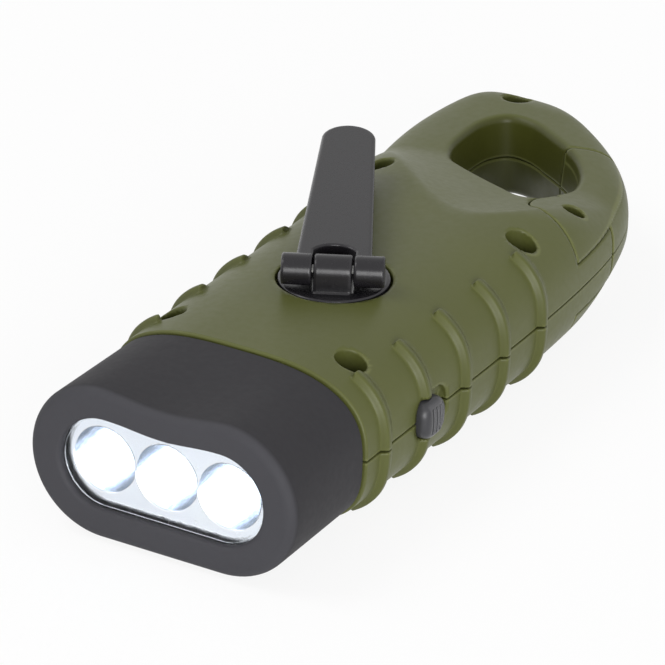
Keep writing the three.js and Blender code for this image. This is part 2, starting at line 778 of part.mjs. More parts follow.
/** A loop with round ends and a drawn-in middle, as [x, z] points. */
function stadium(halfWide, halfHigh, arcSteps = 8, flatSteps = 5) {
  const straight = halfWide - halfHigh;
  const points = [];
  for (const side of [1, -1]) {
    for (let i = 0; i <= arcSteps; i++) {
      const turn = (-90 + (180 * i) / arcSteps) * degree;
      points.push([side * (straight + halfHigh * Math.cos(turn)), side * halfHigh * Math.sin(turn)]);
    }
    for (let i = 1; i < flatSteps; i++) points.push([side * lerp(straight, -straight, i / flatSteps), side * halfHigh]);
  }
  const waistShare = 0.55;
  return points.map(([x, z]) => {
    const near = Math.cos((clamp(x / (waistShare * halfWide), -1, 1) * Math.PI) / 2);
    return [x, z * (1 - facePinchShare * near * near)];
  });
}

/** One ring of the bezel: the body's section at the seam, the waisted loop at the face. */
function bezelRing(y, inset) {
  const share = clamp((seamY - y) / (seamY - frontY - faceRound), 0, 1);
  const wide = halfWidth - bezelStep - inset;
  const high = halfHeight - bezelStep - inset;
  return stadium(faceHalfWidth - inset, faceHalfHeight - inset).map(([x, z]) => {
    const sum = Math.pow(Math.abs(x / wide), crownPower) + Math.pow(Math.abs(z / high), crownPower);
    const grow = Math.pow(sum, -1 / crownPower);
    return [lerp(x * grow, x, share), y, lerp(z * grow, z, share)];
  });
}

/** A loop of [x, z] points between two values of Y. */
function plateBetween(loop, y0, y1) {
  return loft([loop.map(([x, z]) => [x, y0, z]), loop.map(([x, z]) => [x, y1, z])]);
}

/** The rubber bezel round the lamp. */
function bezel() {
  const rings = [seamY - fit, lerp(seamY, frontY, 0.5), frontY + faceRound].map((y) => bezelRing(y, 0));
  const roundSteps = 3;
  for (let i = 1; i <= roundSteps; i++) {
    const turn = ((i / roundSteps) * Math.PI) / 2;
    rings.push(bezelRing(frontY + faceRound * (1 - Math.sin(turn)), faceRound * (1 - Math.cos(turn))));
  }
  const seamLoop = bezelRing(seamY, bezelWall).map(([x, , z]) => [x, z]);
  const neckPocket = plateBetween(seamLoop, neckFrontY - fit, seamY + overrun);
  const lampPocket = lampLoop(0);
  const opening = stadium(openingHalfWidth, openingHalfHeight);
  const flared = stadium(openingHalfWidth + openingChamfer, openingHalfHeight + openingChamfer);
  return loft(rings)
    .subtract(neckPocket)
    .subtract(plateBetween(lampPocket, neckFrontY, frontY + bezelLip))
    .subtract(plateBetween(opening, neckFrontY, frontY - overrun))
    .subtract(loft([opening.map(([x, z]) => [x, frontY + openingChamfer, z]), flared.map(([x, z]) => [x, frontY, z]),
      flared.map(([x, z]) => [x, frontY - overrun, z])]));
}

/** The loop of what sits in the bezel's pocket, shrunk by a gap. */
function lampLoop(gap) {
  return stadium(openingHalfWidth + pocketMargin - gap, openingHalfHeight + pocketMargin - gap);
}

/** The clear window, with a step that stands in the opening. */
function lensWindow() {
  const step = stadium(openingHalfWidth - fit, openingHalfHeight - fit);
  return plateBetween(lampLoop(fit), lensFrontY, lensBackY)
    .add(plateBetween(step, lensFrontY - bezelLip / 2, lensFrontY + fit));
}

/** A solid of revolution laid along Y, with its profile's heights going towards the lens. */
function turnedForward(profile, x, y, segments) {
  return turned(profile, segments).rotate([90, 0, 0]).translate([x, y, 0]);
}

/** The reflector with its three bowls. */
function reflector() {
  let body = plateBetween(lampLoop(fit), reflectorFrontY, reflectorBackY);
  const bowlSteps = 3;
  const depthBehind = reflectorDepth - cupDepth;
  for (const side of [-1, 0, 1]) {
    const profile = [[0, reflectorDepth + fit], [cupRadius, reflectorDepth + fit], [cupRadius, reflectorDepth]];
    for (let i = 1; i < bowlSteps; i++) {
      const share = i / bowlSteps;
      profile.push([lerp(cupRadius, ledRadius + fit, share * share), reflectorDepth - cupDepth * share]);
    }
    profile.push([ledRadius + fit, depthBehind], [ledRadius + fit, ledFlangeHeight + 2 * fit]);
    profile.push([ledFlangeRadius + fit, ledFlangeHeight + 2 * fit], [ledFlangeRadius + fit, -fit], [0, -fit]);
    body = body.subtract(turnedForward(profile, side * cupPitch, reflectorBackY, 18));
  }
  return body;
}

/** One lamp: flange, barrel and dome. */
function lamp(side) {
  const profile = [[0, 0], [ledFlangeRadius, 0], [ledFlangeRadius, ledFlangeHeight], [ledRadius, ledFlangeHeight]];
  const domeSteps = 4;
  for (let i = 0; i < domeSteps; i++) {
    const turn = ((i / domeSteps) * Math.PI) / 2;
    profile.push([ledRadius * Math.cos(turn), ledFlangeHeight + ledBodyHeight + ledRadius * Math.sin(turn)]);
  }
  profile.push([0, ledFlangeHeight + ledBodyHeight + ledRadius]);
  return turnedForward(profile, side * cupPitch, lampBoardFrontY - fit, 14);
}

// Fasteners and axles

/** A screw that stands upright, with its head's seat at the origin and a crossed recess. */
function screw(head, height, shaft, length) {
  const body = turned([[0, -length], [shaft, -length], [shaft, 0], [head, 0], [head, height], [0, height]], 8);
  const arm = head * slotShare;
  const half = slotWidth / 2;
  return body
    .subtract(block(-arm, -half, height - slotDepth, arm, half, height + slotDepth))
    .subtract(block(-half, -arm, height - slotDepth, half, arm, height + slotDepth));
}

/** A fixed axle on the gear plate, with a shoulder that its gear stands on. */
function axle(x, y, gearBottomZ, topZ) {
  const plateBottomZ = plateTopZ - plateThickness;
  return turned([[0, plateBottomZ], [axleRadius, plateBottomZ], [axleRadius, plateTopZ + fit],
    [flangeRadius, plateTopZ + fit], [flangeRadius, gearBottomZ - fit], [axleRadius, gearBottomZ - fit],
    [axleRadius, topZ], [0, topZ]], 10).translate([x, y, 0]);
}

// Crank, built with its arm along +Y and turned to its heading

/** The hub: disc, stem with its square end, and the hinge's middle knuckle. */
function crankDisc() {
  const bottomZ = discTopZ - discThickness;
  const edge = discThickness / 3;
  const disc = turned([[0, bottomZ], [discRadius, bottomZ], [discRadius, discTopZ - edge],
    [discRadius - edge, discTopZ], [0, discTopZ]], 40);
  const squareTopZ = driveZ + driveThickness + fit;
  const stem = post(0, 0, stemRadius, squareTopZ, bottomZ + fit, 16);
  const square = block(-stemSquare / 2, -stemSquare / 2, driveZ + fit, stemSquare / 2, stemSquare / 2, squareTopZ + fit);
  const half = centreKnuckle / 2;
  const knuckle = barrel(-half, half, hingeRadius).translate([0, -hingeOffset, hingeZ]);
  const foot = block(-half, -hingeOffset - hingeRadius, discTopZ - edge, half, -hingeOffset + hingeRadius, hingeZ);
  return disc.add(stem).add(square).add(knuckle).add(foot)
    .subtract(barrel(-bodyWidth, bodyWidth, hingePinRadius + fit, 12).translate([0, -hingeOffset, hingeZ]))
    .subtract(post(0, 0, screwRadius + fit, driveZ - overrun, squareTopZ + fit, 10));
}

/** A cylinder along X. */
function barrel(x0, x1, radius, sides = 18) {
  return post(0, 0, radius, x0, x1, sides).rotate([0, 90, 0]);
}

/** The folding arm in its own frame: hinge axis on X, arm along +Y. */
function crankArm() {
  const tipSteps = 12;
  const tipCentre = armLength - armTipHalfWidth;
  const outline = [[-armBaseHalfWidth, 0], [armBaseHalfWidth, 0]];
  for (let i = 0; i <= tipSteps; i++) {
    const turn = (Math.PI * i) / tipSteps;
    outline.push([armTipHalfWidth * Math.cos(turn), tipCentre + armTipHalfWidth * Math.sin(turn)]);
  }
  const plateBottom = armTop - armThickness;
  const plate = prism(outline, plateBottom, armTop, armEdgeRound);
  const gap = centreKnuckle / 2 + fit;
  const arch = 1.2 * gap;
  const slot = [[-gap, -overrun], [gap, -overrun]];
  const archSteps = 6;
  const archHalf = Math.asin(gap / arch);
  for (let i = 0; i <= archSteps; i++) {
    const turn = lerp(archHalf, -archHalf, i / archSteps);
    slot.push([arch * Math.sin(turn), slotReach - arch + arch * Math.cos(turn)]);
  }
  const outer = gap + outerKnuckle;
  return plate
    .add(barrel(gap, outer, hingeRadius))
    .add(barrel(-outer, -gap, hingeRadius))
    .subtract(prism(slot, -bodyHeight, bodyHeight))
    .subtract(barrel(-bodyWidth, bodyWidth, hingePinRadius + fit, 12))
    .add(post(0, armLength - knobInset, pegRadius, plateBottom - knobHeight + knobSink, plateBottom + fit, 12))
    .subtract(post(0, armLength - knobInset, knobPilotRadius, -bodyHeight, plateBottom - fit, 10));
}

/** The knob below the arm, from its top face down. */
function knob() {
  const waist = knobRadius * 0.88;
  const bore = pegRadius + fit;
  const seat = knobHeight - knobSink;
  return turned([[0, 0], [waist, 0], [waist, -knobHeight * 0.4], [knobRadius, -knobHeight * 0.6],
    [knobRadius, -knobHeight * 0.9], [knobRadius * 0.9, -knobHeight], [0, -knobHeight]], 22)
    .subtract(post(0, 0, bore, -bodyHeight, bodyHeight, 12))
    .subtract(post(0, 0, knobHeadRadius + fit, -bodyHeight, -seat - fit, 12));
}

// Gears

/** An involute gear's outline with its first tooth at a given turn. */
function gearShape(teeth, module, phase) {
  const pitch = (module * teeth) / 2;
  const base = pitch * Math.cos(pressureAngle);
  const involute = (radius) => {
    const angle = Math.acos(Math.min(base / radius, 1));
    return Math.tan(angle) - angle;
  };
  const halfTooth = (radius) => (Math.PI / 2 - (2 * toothRelief) / module) / teeth
    + involute(pitch) - involute(Math.max(radius, base));
  const radii = [pitch - rootShare * module, pitch + tipShare * module];
  const points = [];
  for (let tooth = 0; tooth < teeth; tooth++) {
    const middle = phase + (2 * Math.PI * tooth) / teeth;
    for (const radius of radii) points.push([radius, middle - halfTooth(radius)]);
    for (const radius of [...radii].reverse()) points.push([radius, middle + halfTooth(radius)]);
  }
  return points.map(([radius, turn]) => [radius * Math.cos(turn), radius * Math.sin(turn)]);
}

/** The turn of a follower's first tooth, so that it meshes with its driver across a direction. */
function meshedPhase(driverTeeth, driverPhase, direction, teeth) {
  const share = ((direction - driverPhase) * driverTeeth) / (2 * Math.PI);
  return direction + Math.PI - ((0.5 - share) * 2 * Math.PI) / teeth;
}

const idlerPhase = meshedPhase(driveTeeth, 0, idlerAngle, pinionTeeth);
const secondPhase = meshedPhase(wheelTeeth, 0, secondAngle, pinionTeeth);
const rotorPhase = meshedPhase(secondWheelTeeth, 0, rotorAngle, rotorTeeth);

/** The gear under the hub, with its square bore turned to the crank's heading. */
function driveGear() {
  const square = stemSquare / 2 + fit;
  const bore = block(-square, -square, driveZ - overrun, square, square, driveZ + overrun).rotate([0, 0, armHeading / degree]);
  return prism(gearShape(driveTeeth, coarseModule, 0), driveZ, driveZ + driveThickness)
    .subtract(bore);
}

/** A wheel with a pinion on top, on one bore. */
function idlerGear(x, y, wheel, wheelModule, bottomZ, pinionModule, phase, topZ) {
  return prism(gearShape(wheel, wheelModule, 0), bottomZ, bottomZ + wheelThickness)
    .add(prism(gearShape(pinionTeeth, pinionModule, phase), bottomZ + wheelThickness - fit, topZ))
    .subtract(post(0, 0, axleRadius + fit, -bodyHeight, bodyHeight, 10))
    .translate([x, y, 0]);
}

/** The small gear on the rotor's shaft. */
function rotorPinion() {
  return prism(gearShape(rotorTeeth, fineModule, rotorPhase), secondWheelZ - pinionOverhang,
    secondWheelZ + wheelThickness + pinionOverhang)
    .subtract(post(0, 0, shaftRadius + fit, -bodyHeight, bodyHeight, 8))
    .translate([rotorX, rotorY, 0]);
}

// Generator

/** The stator's can with its claw poles. */
function statorCore() {
  const inner = magnetRadius + airGap;
  const topZ = statorBottomZ + statorHeight;
  let core = post(0, 0, statorRadius, statorBottomZ, topZ, 24)
    .subtract(post(0, 0, statorRadius - poleWall, statorBottomZ + poleWall, topZ - poleWall, 24))
    .subtract(post(0, 0, inner, -bodyHeight, bodyHeight, 18));
  const claw = (2 * Math.PI * inner) / poleCount / 3.4;
  const clawLength = statorHeight * 0.72;
  for (let i = 0; i < poleCount; i++) {
    const low = i % 2 ? statorBottomZ : topZ - clawLength;
    core = core.add(block(inner, -claw, low, inner + poleWall, claw, low + clawLength)
      .rotate([0, 0, (360 * i) / poleCount]));
  }
  return core.subtract(post(0, 0, inner, -bodyHeight, bodyHeight, 18)).translate([rotorX, rotorY, 0]);
}

/** The winding between the claws and the can. */
function statorCoil() {
  const inner = magnetRadius + airGap + poleWall + 2 * fit;
  const outer = statorRadius - poleWall - fit;
  const low = statorBottomZ + poleWall + fit;
  const high = statorBottomZ + statorHeight - poleWall - fit;
  return post(rotorX, rotorY, outer, low, high, 20).subtract(post(rotorX, rotorY, inner, low - fit, high + fit, 20));
}

/** The magnet on the rotor's shaft. */
function rotorMagnet() {
  const low = bearingTopZ + 2 * fit;
  const high = statorBottomZ + statorHeight - fit;
  return post(rotorX, rotorY, magnetRadius, low, high, 16)
    .subtract(post(rotorX, rotorY, shaftRadius + fit, low - fit, high + fit, 8));
}

/** The plate that carries the axles over the stator, the board and the cell. */
function gearPlate() {
  const holes = [
    post(idlerX, idlerY, axleRadius + fit, -bodyHeight, bodyHeight, 8),
    post(secondX, secondY, axleRadius + fit, -bodyHeight, bodyHeight, 8),
    post(rotorX, rotorY, shaftRadius + 2 * fit, -bodyHeight, bodyHeight, 8),
    ...platePosts.map(([x, y]) => post(x, y, screwRadius + fit, -bodyHeight, bodyHeight, 8)),
  ];
  return prism(onPlate(plateShares), plateTopZ - plateThickness, plateTopZ).subtract(union(holes));
}

// Electrics

const cellY = boardStartY + cellRadius + fit;

/** The clip that holds the cell down on the board. */
function cellClip() {
  const lowZ = boardTopZ + fit;
  const highZ = lowZ + cellHeight + fit;
  const reach = cellRadius + clipThickness + fit;
  const [front, back] = [cellY - clipWidth / 2, cellY + clipWidth / 2];
  return block(-reach, front, highZ, reach, back, highZ + clipThickness)
    .add(block(-reach, front, lowZ, clipThickness - reach, back, highZ + fit))
    .add(block(reach - clipThickness, front, lowZ, reach, back, highZ + fit));
}

/** The thumb piece: a ribbed cap outside, a neck through the wall and a carriage inside. */
function switchSlider() {
  const outer = halfWidth + capRise;
  const cap = prism(ovalPoints(switchY - capLength / 2, switchY + capLength / 2, capHeight / 2, 4), 0, capThickness,
    gripDepth / 2).rotate([0, 90, 0]).translate([outer - capThickness, 0, 0]);
  const inner = halfWidth - wall - 2 * fit;
  const neck = block(inner - fit, switchY - neckWidth / 2, -neckHeight / 2, outer - capThickness / 2,
    switchY + neckWidth / 2, neckHeight / 2);
  const carriage = block(inner - carriageThickness, switchY - carriageLength / 2, -carriageHeight / 2, inner,
    switchY + carriageLength / 2, carriageHeight / 2);
  const grooves = Array.from({ length: gripCount }, (_, i) => {
    const y = switchY + (i - (gripCount - 1) / 2) * 2.2 * gripWidth;
    return block(outer - gripDepth, y - gripWidth / 2, -capHeight / 3, outer + overrun, y + gripWidth / 2, capHeight / 3);
  });
  return cap.add(neck).add(carriage).subtract(union(grooves));
}

// Gate

/** One half of the gate, over the parting plane. */
function gateHalf() {
  return halfForm({ base: halfFit }).subtract(hole).intersect(gateSpace(halfFit, noseEndTurn - gateSwing - seamGapTurn / 2));
}

/** The gate's upper half, with the pivot screw's recess. */
function gateUpper() {
  return gateHalf()
    .subtract(post(gateX, gateY, gateScrewRadius + fit, -bodyHeight, bodyHeight, 16))
    .subtract(post(gateX, gateY, gateRecessRadius + fit, gateHeadSeatZ, bodyHeight, 20));
}

/** The gate's lower half, with the blind hole that the pivot screw bites in. */
function gateLower() {
  return mirrored(gateHalf().subtract(
    post(gateX, gateY, gateScrewRadius + fit, -bodyHeight, -gateScrewEndZ + fit, 16)));
}

/** The torsion spring round the pivot: one unbroken wire. */
function gateSpring() {
  const rise = (2 * springPocketHalfHeight - 4 * fit - springWire) / springTurns;
  const perTurn = 8;
  const wireSides = 5;
  const route = [];
  for (let i = 0; i <= springTurns * perTurn; i++) {
    const turn = (2 * Math.PI * i) / perTurn;
    const z = (i / perTurn - springTurns / 2) * rise;
    route.push(new THREE.Vector3(springRadius * Math.cos(turn), springRadius * Math.sin(turn), z));
  }
  const path = new THREE.CatmullRomCurve3(route);
  const section = new THREE.Shape(Array.from({ length: wireSides }, (_, i) => {
    const turn = (2 * Math.PI * i) / wireSides;
    return new THREE.Vector2((springWire / 2) * Math.cos(turn), (springWire / 2) * Math.sin(turn));
  }));
  const geometry = new THREE.ExtrudeGeometry(section, {
    steps: springTurns * perTurn, extrudePath: path, bevelEnabled: false,
  });
  return solid(geometry).translate([gateX, gateY, 0]);
}

// Assembly

const root = new THREE.Group();
root.position.z = partingZ;
const add = (name, body, material, group = root) => group.add(piece(name, body, material));

add('upper_shell', upperShell(), olive);
add('lower_shell', lowerShell(), olive);
add('bezel', bezel(), rubber);
add('lens_window', lensWindow(), clear);
add('reflector', reflector(), chrome);
add('lamp_board', plateBetween(lampLoop(fit), lampBoardFrontY, lampBoardBackY), board);
add('lamp_left', lamp(-1), led);
add('lamp_middle', lamp(0), led);
add('lamp_right', lamp(1), led);
for (const [name, x, y] of screwPlaces) {
  add(name, screw(headRadius, headHeight, screwRadius, screwLength).translate([x, y, headSeatZ + fit]), steel);
}

const crank = new THREE.Group();
crank.rotation.z = armHeading;
root.add(crank);
add('crank_disc', crankDisc(), blackPlastic, crank);
add('crank_screw', screw(crankHeadRadius, flatHeadHeight, screwRadius, driveThickness + fit)
  .rotate([180, 0, 0]).translate([0, 0, driveZ - fit]), steel, crank);
const arm = new THREE.Group();
arm.position.set(0, -hingeOffset, hingeZ);
arm.rotation.x = armTilt;
crank.add(arm);
add('crank_arm', crankArm(), blackPlastic, arm);
const pinHalf = centreKnuckle / 2 + fit + outerKnuckle - fit;
add('hinge_pin', barrel(-pinHalf, pinHalf, hingePinRadius, 14), steel, arm);
const knobGroup = new THREE.Group();
knobGroup.position.set(0, armLength - knobInset, armTop - armThickness - fit);
arm.add(knobGroup);
add('crank_knob', knob(), blackPlastic, knobGroup);
add('knob_screw', screw(knobHeadRadius, knobSink * 0.6, knobPilotRadius - fit, knobScrewLength)
  .rotate([180, 0, 0]).translate([0, 0, -(knobHeight - knobSink) - 2 * fit]), steel, knobGroup);

add('drive_gear', driveGear(), acetal);
add('idler_gear_first', idlerGear(idlerX, idlerY, wheelTeeth, fineModule, wheelZ, coarseModule, idlerPhase,
  driveZ + driveThickness + pinionOverhang), acetal);
add('idler_axle_first', axle(idlerX, idlerY, wheelZ, driveZ + driveThickness + 2 * wall - 2 * fit), steel);
add('idler_gear_second', idlerGear(secondX, secondY, secondWheelTeeth, fineModule, secondWheelZ, fineModule,
  secondPhase, wheelZ + wheelThickness + pinionOverhang), acetal);
add('idler_axle_second', axle(secondX, secondY, secondWheelZ, driveZ - fit), steel);
add('rotor_pinion', rotorPinion(), acetal);
add('rotor_shaft', post(rotorX, rotorY, shaftRadius, shaftEndZ, secondWheelZ + wheelThickness + 2 * fit, 8), steel);
add('rotor_magnet', rotorMagnet(), magnetBlack);
add('stator_core', statorCore(), steel);
add('stator_coil', statorCoil(), copper);
add('gear_plate', gearPlate(), acetal);
platePosts.forEach(([x, y], i) => {
  add(`plate_screw_${i ? 'left' : 'right'}`, screw(headRadius, flatHeadHeight, screwRadius, plateScrewLength)
    .translate([x, y, plateTopZ + fit]), steel);
});

add('main_board', block(-boardWidth / 2, boardStartY, boardTopZ - boardThickness, boardWidth / 2,
  boardStartY + boardLength, boardTopZ), board);
add('rechargeable_cell', post(0, cellY, cellRadius, boardTopZ + fit, boardTopZ + fit + cellHeight, 20), steel);
add('cell_clip', cellClip(), steel);
add('capacitor', post(boardWidth / 2 - capacitorRadius, boardStartY + capacitorRadius, capacitorRadius,
  boardTopZ + fit, boardTopZ + fit + capacitorHeight, 10), magnetBlack);
add('switch_body', block(switchInnerX(), switchY - switchLength / 2, -switchHeight / 2, switchInnerX() + switchDepth,
  switchY + switchLength / 2 + switchTravel, switchHeight / 2), greyPlastic);
add('switch_slider', switchSlider(), greyPlastic);

add('gate_upper', gateUpper(), olive);
add('gate_lower', gateLower(), olive);
add('gate_screw', screw(gateRecessRadius, gateHeadHeight, gateScrewRadius, gateHeadSeatZ + fit - gateScrewEndZ)
  .translate([gateX, gateY, gateHeadSeatZ + fit]), steel);
add('gate_spring', gateSpring(), steel);

export default root;
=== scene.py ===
"""Looks of the hand crank flashlight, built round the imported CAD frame.

The moulded pieces are made from distance fields in millimetres. Heights in a field count from the
parting plane of the two shells, and the CAD frame has that plane PARTING_Z over the rest face.
"""
from __future__ import annotations

import logging
import math
from dataclasses import dataclass, field
from enum import Enum
from typing import Callable, Sequence

import bmesh
import bpy
import numpy as np
from mathutils import Matrix, Vector


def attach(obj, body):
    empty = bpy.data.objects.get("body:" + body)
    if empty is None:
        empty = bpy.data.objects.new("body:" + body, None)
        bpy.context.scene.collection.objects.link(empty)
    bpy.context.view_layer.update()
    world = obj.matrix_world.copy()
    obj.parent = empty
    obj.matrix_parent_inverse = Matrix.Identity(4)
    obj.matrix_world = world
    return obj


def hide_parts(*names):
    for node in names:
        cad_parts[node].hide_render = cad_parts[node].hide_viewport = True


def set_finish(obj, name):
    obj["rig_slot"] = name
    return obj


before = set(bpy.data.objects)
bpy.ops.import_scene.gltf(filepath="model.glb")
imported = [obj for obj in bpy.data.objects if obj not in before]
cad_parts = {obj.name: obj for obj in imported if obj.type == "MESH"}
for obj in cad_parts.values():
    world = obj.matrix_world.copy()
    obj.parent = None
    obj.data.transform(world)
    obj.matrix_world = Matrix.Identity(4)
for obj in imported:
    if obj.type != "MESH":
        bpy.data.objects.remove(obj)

LOG = logging.getLogger("flashlight")
MM = 0.001
PARTING_Z = 12.8
FIT = 0.3
HALF_FIT = 0.15
PARTING_ROUND = 0.16
HUB = (0.0, 0.0)
QUARTER = math.pi / 2
Array = np.ndarray
Field = Callable[[Array, Array, Array], Array]
Point = tuple[float, float]
Triple = tuple[float, float, float]
Loop = list[Point]
Axes = tuple[Array, Array, Array]
Thing = bpy.types.Object
Tree = bpy.types.NodeTree
Socket = bpy.types.NodeSocket


class Half(Enum):
    """The two halves of the housing and of the gate."""

    UPPER = 1
    LOWER = -1


class Slot(Enum):
    """The record's material slots."""

    OLIVE = "olive_plastic"
    RUBBER = "bezel_rubber"
    BLACK = "black_plastic"
    GREY = "grey_plastic"
    WINDOW = "clear_window"
    CHROME = "reflector_chrome"
    LAMP = "lamp_clear"
    STEEL = "steel"
    ACETAL = "acetal"
    BOARD = "circuit_board"
    COPPER = "copper_winding"
    MAGNET = "magnet"


Finishes = dict[Slot, bpy.types.Material]


# Field helpers


def cut(shape: Array, tool: Array) -> Array:
    """A field less another, with a sharp edge."""
    return np.maximum(shape, -tool)


def smoothstep(value: Array, low: float, high: Array | float) -> Array:
    """Eases from 0 at low to 1 at high."""
    share = np.clip((value - low) / (high - low), 0.0, 1.0)
    return share * share * (3.0 - 2.0 * share)


def soft_min(a: Array, b: Array, blend: Array | float) -> Array:
    """The lower of two heights, rounded over the reach of the blend."""
    overlap = np.maximum(blend - np.abs(a - b), 0.0) / blend
    return np.minimum(a, b) - overlap * overlap * blend / 4.0


def both(a: Array, b: Array, radius: float) -> Array:
    """What lies in two fields, with its edge rounded to a radius."""
    corner = np.hypot(np.maximum(a + radius, 0.0), np.maximum(b + radius, 0.0))
    return np.minimum(-radius, np.maximum(a, b)) + corner


def without(a: Array, b: Array, radius: float) -> Array:
    """The first field less the second, with a rounded edge."""
    return both(a, -b, radius)


def either(a: Array, b: Array, radius: float) -> Array:
    """Two fields joined, with a fillet between them."""
    return -both(-a, -b, radius)


def slab(value: Array, low: float, high: float) -> Array:
    """Distance to the space between two planes."""
    return np.abs(value - (low + high) / 2.0) - (high - low) / 2.0


def rod(a: Array, b: Array, at: Point, radius: float) -> Array:
    """Distance to an endless rod through a place in the plane of a and b."""
    return np.hypot(a - at[0], b - at[1]) - radius


def oval(a: Array, b: Array, half: Point, corner: float) -> Array:
    """Distance to a rectangle with round corners about the origin of a plane."""
    along = np.abs(a) - (half[0] - corner)
    across = np.abs(b) - (half[1] - corner)
    outside = np.hypot(np.maximum(along, 0.0), np.maximum(across, 0.0))
    return outside + np.minimum(np.maximum(along, across), 0.0) - corner


def graded(low: float, high: float, step: float, fine: Sequence[Triple] = ()) -> Array:
    """Positions of grid planes, closer together where a span of fine asks for it.

    Args:
        low: First plane.
        high: No plane lies before this by more than one step.
        step: Usual distance.
        fine: Spans as (from, to, distance).

    Returns:
        The positions in rising order.
    """
    places = [low]
    while places[-1] < high:
        here = places[-1]
        size = step
        for start, end, span_step in fine:
            away = max(start - here, here - end, 0.0)
            size = min(size, span_step + 0.35 * away)
        places.append(here + size)
    return np.array(places)


class Outline:
    """A closed outline in a plane, as a table of signed distances."""

    def __init__(self, points: Sequence[Sequence[float]], margin: float = 9.0, step: float = 0.16) -> None:
        """Fills the table.

        Args:
            points: Corners of the outline in order.
            margin: How far the table reaches past them.
            step: Distance of its places.
        """
        corners = np.array(points, float)
        self.low = corners.min(0) - margin
        self.step = step
        count = np.ceil((corners.max(0) + margin - self.low) / step).astype(int) + 1
        a = self.low[0] + step * np.arange(count[0])
        b = self.low[1] + step * np.arange(count[1])
        a, b = np.meshgrid(a, b, indexing="ij")
        best = np.full(a.shape, np.inf)
        inside = np.zeros(a.shape, bool)
        for start, end in zip(corners, np.roll(corners, -1, axis=0)):
            side = end - start
            length = float(side @ side)
            if length < 1e-12:
                continue
            share = np.clip(((a - start[0]) * side[0] + (b - start[1]) * side[1]) / length, 0.0, 1.0)
            gap = (a - start[0] - share * side[0]) ** 2 + (b - start[1] - share * side[1]) ** 2
            best = np.minimum(best, gap)
            crosses = (start[1] > b) != (end[1] > b)
            if abs(side[1]) > 1e-12:
                at = start[0] + (b - start[1]) * side[0] / side[1]
                inside ^= crosses & (a < at)
        self.table = np.where(inside, -1.0, 1.0) * np.sqrt(best)

    def distance(self, a: Array, b: Array) -> Array:
        """Signed distance at places of the plane, negative inside."""
        u = np.clip((a - self.low[0]) / self.step, 0.0, self.table.shape[0] - 1.001)
        v = np.clip((b - self.low[1]) / self.step, 0.0, self.table.shape[1] - 1.001)
        i = u.astype(int)
        j = v.astype(int)
        u = u - i
        v = v - j
        first = self.table[i, j] * (1.0 - v) + self.table[i, j + 1] * v
        second = self.table[i + 1, j] * (1.0 - v) + self.table[i + 1, j + 1] * v
        return first * (1.0 - u) + second * u


# Meshes


@dataclass
class Skin:
    """A mesh before Blender has it: places and normals in millimetres, and quads."""

    places: Array
    normals: Array
    quads: Array
    # Mask for the painted highlight on convex edges.
    edge: Array
    # Mask for the painted shade in hollows, where shade falls.
    hollow: Array


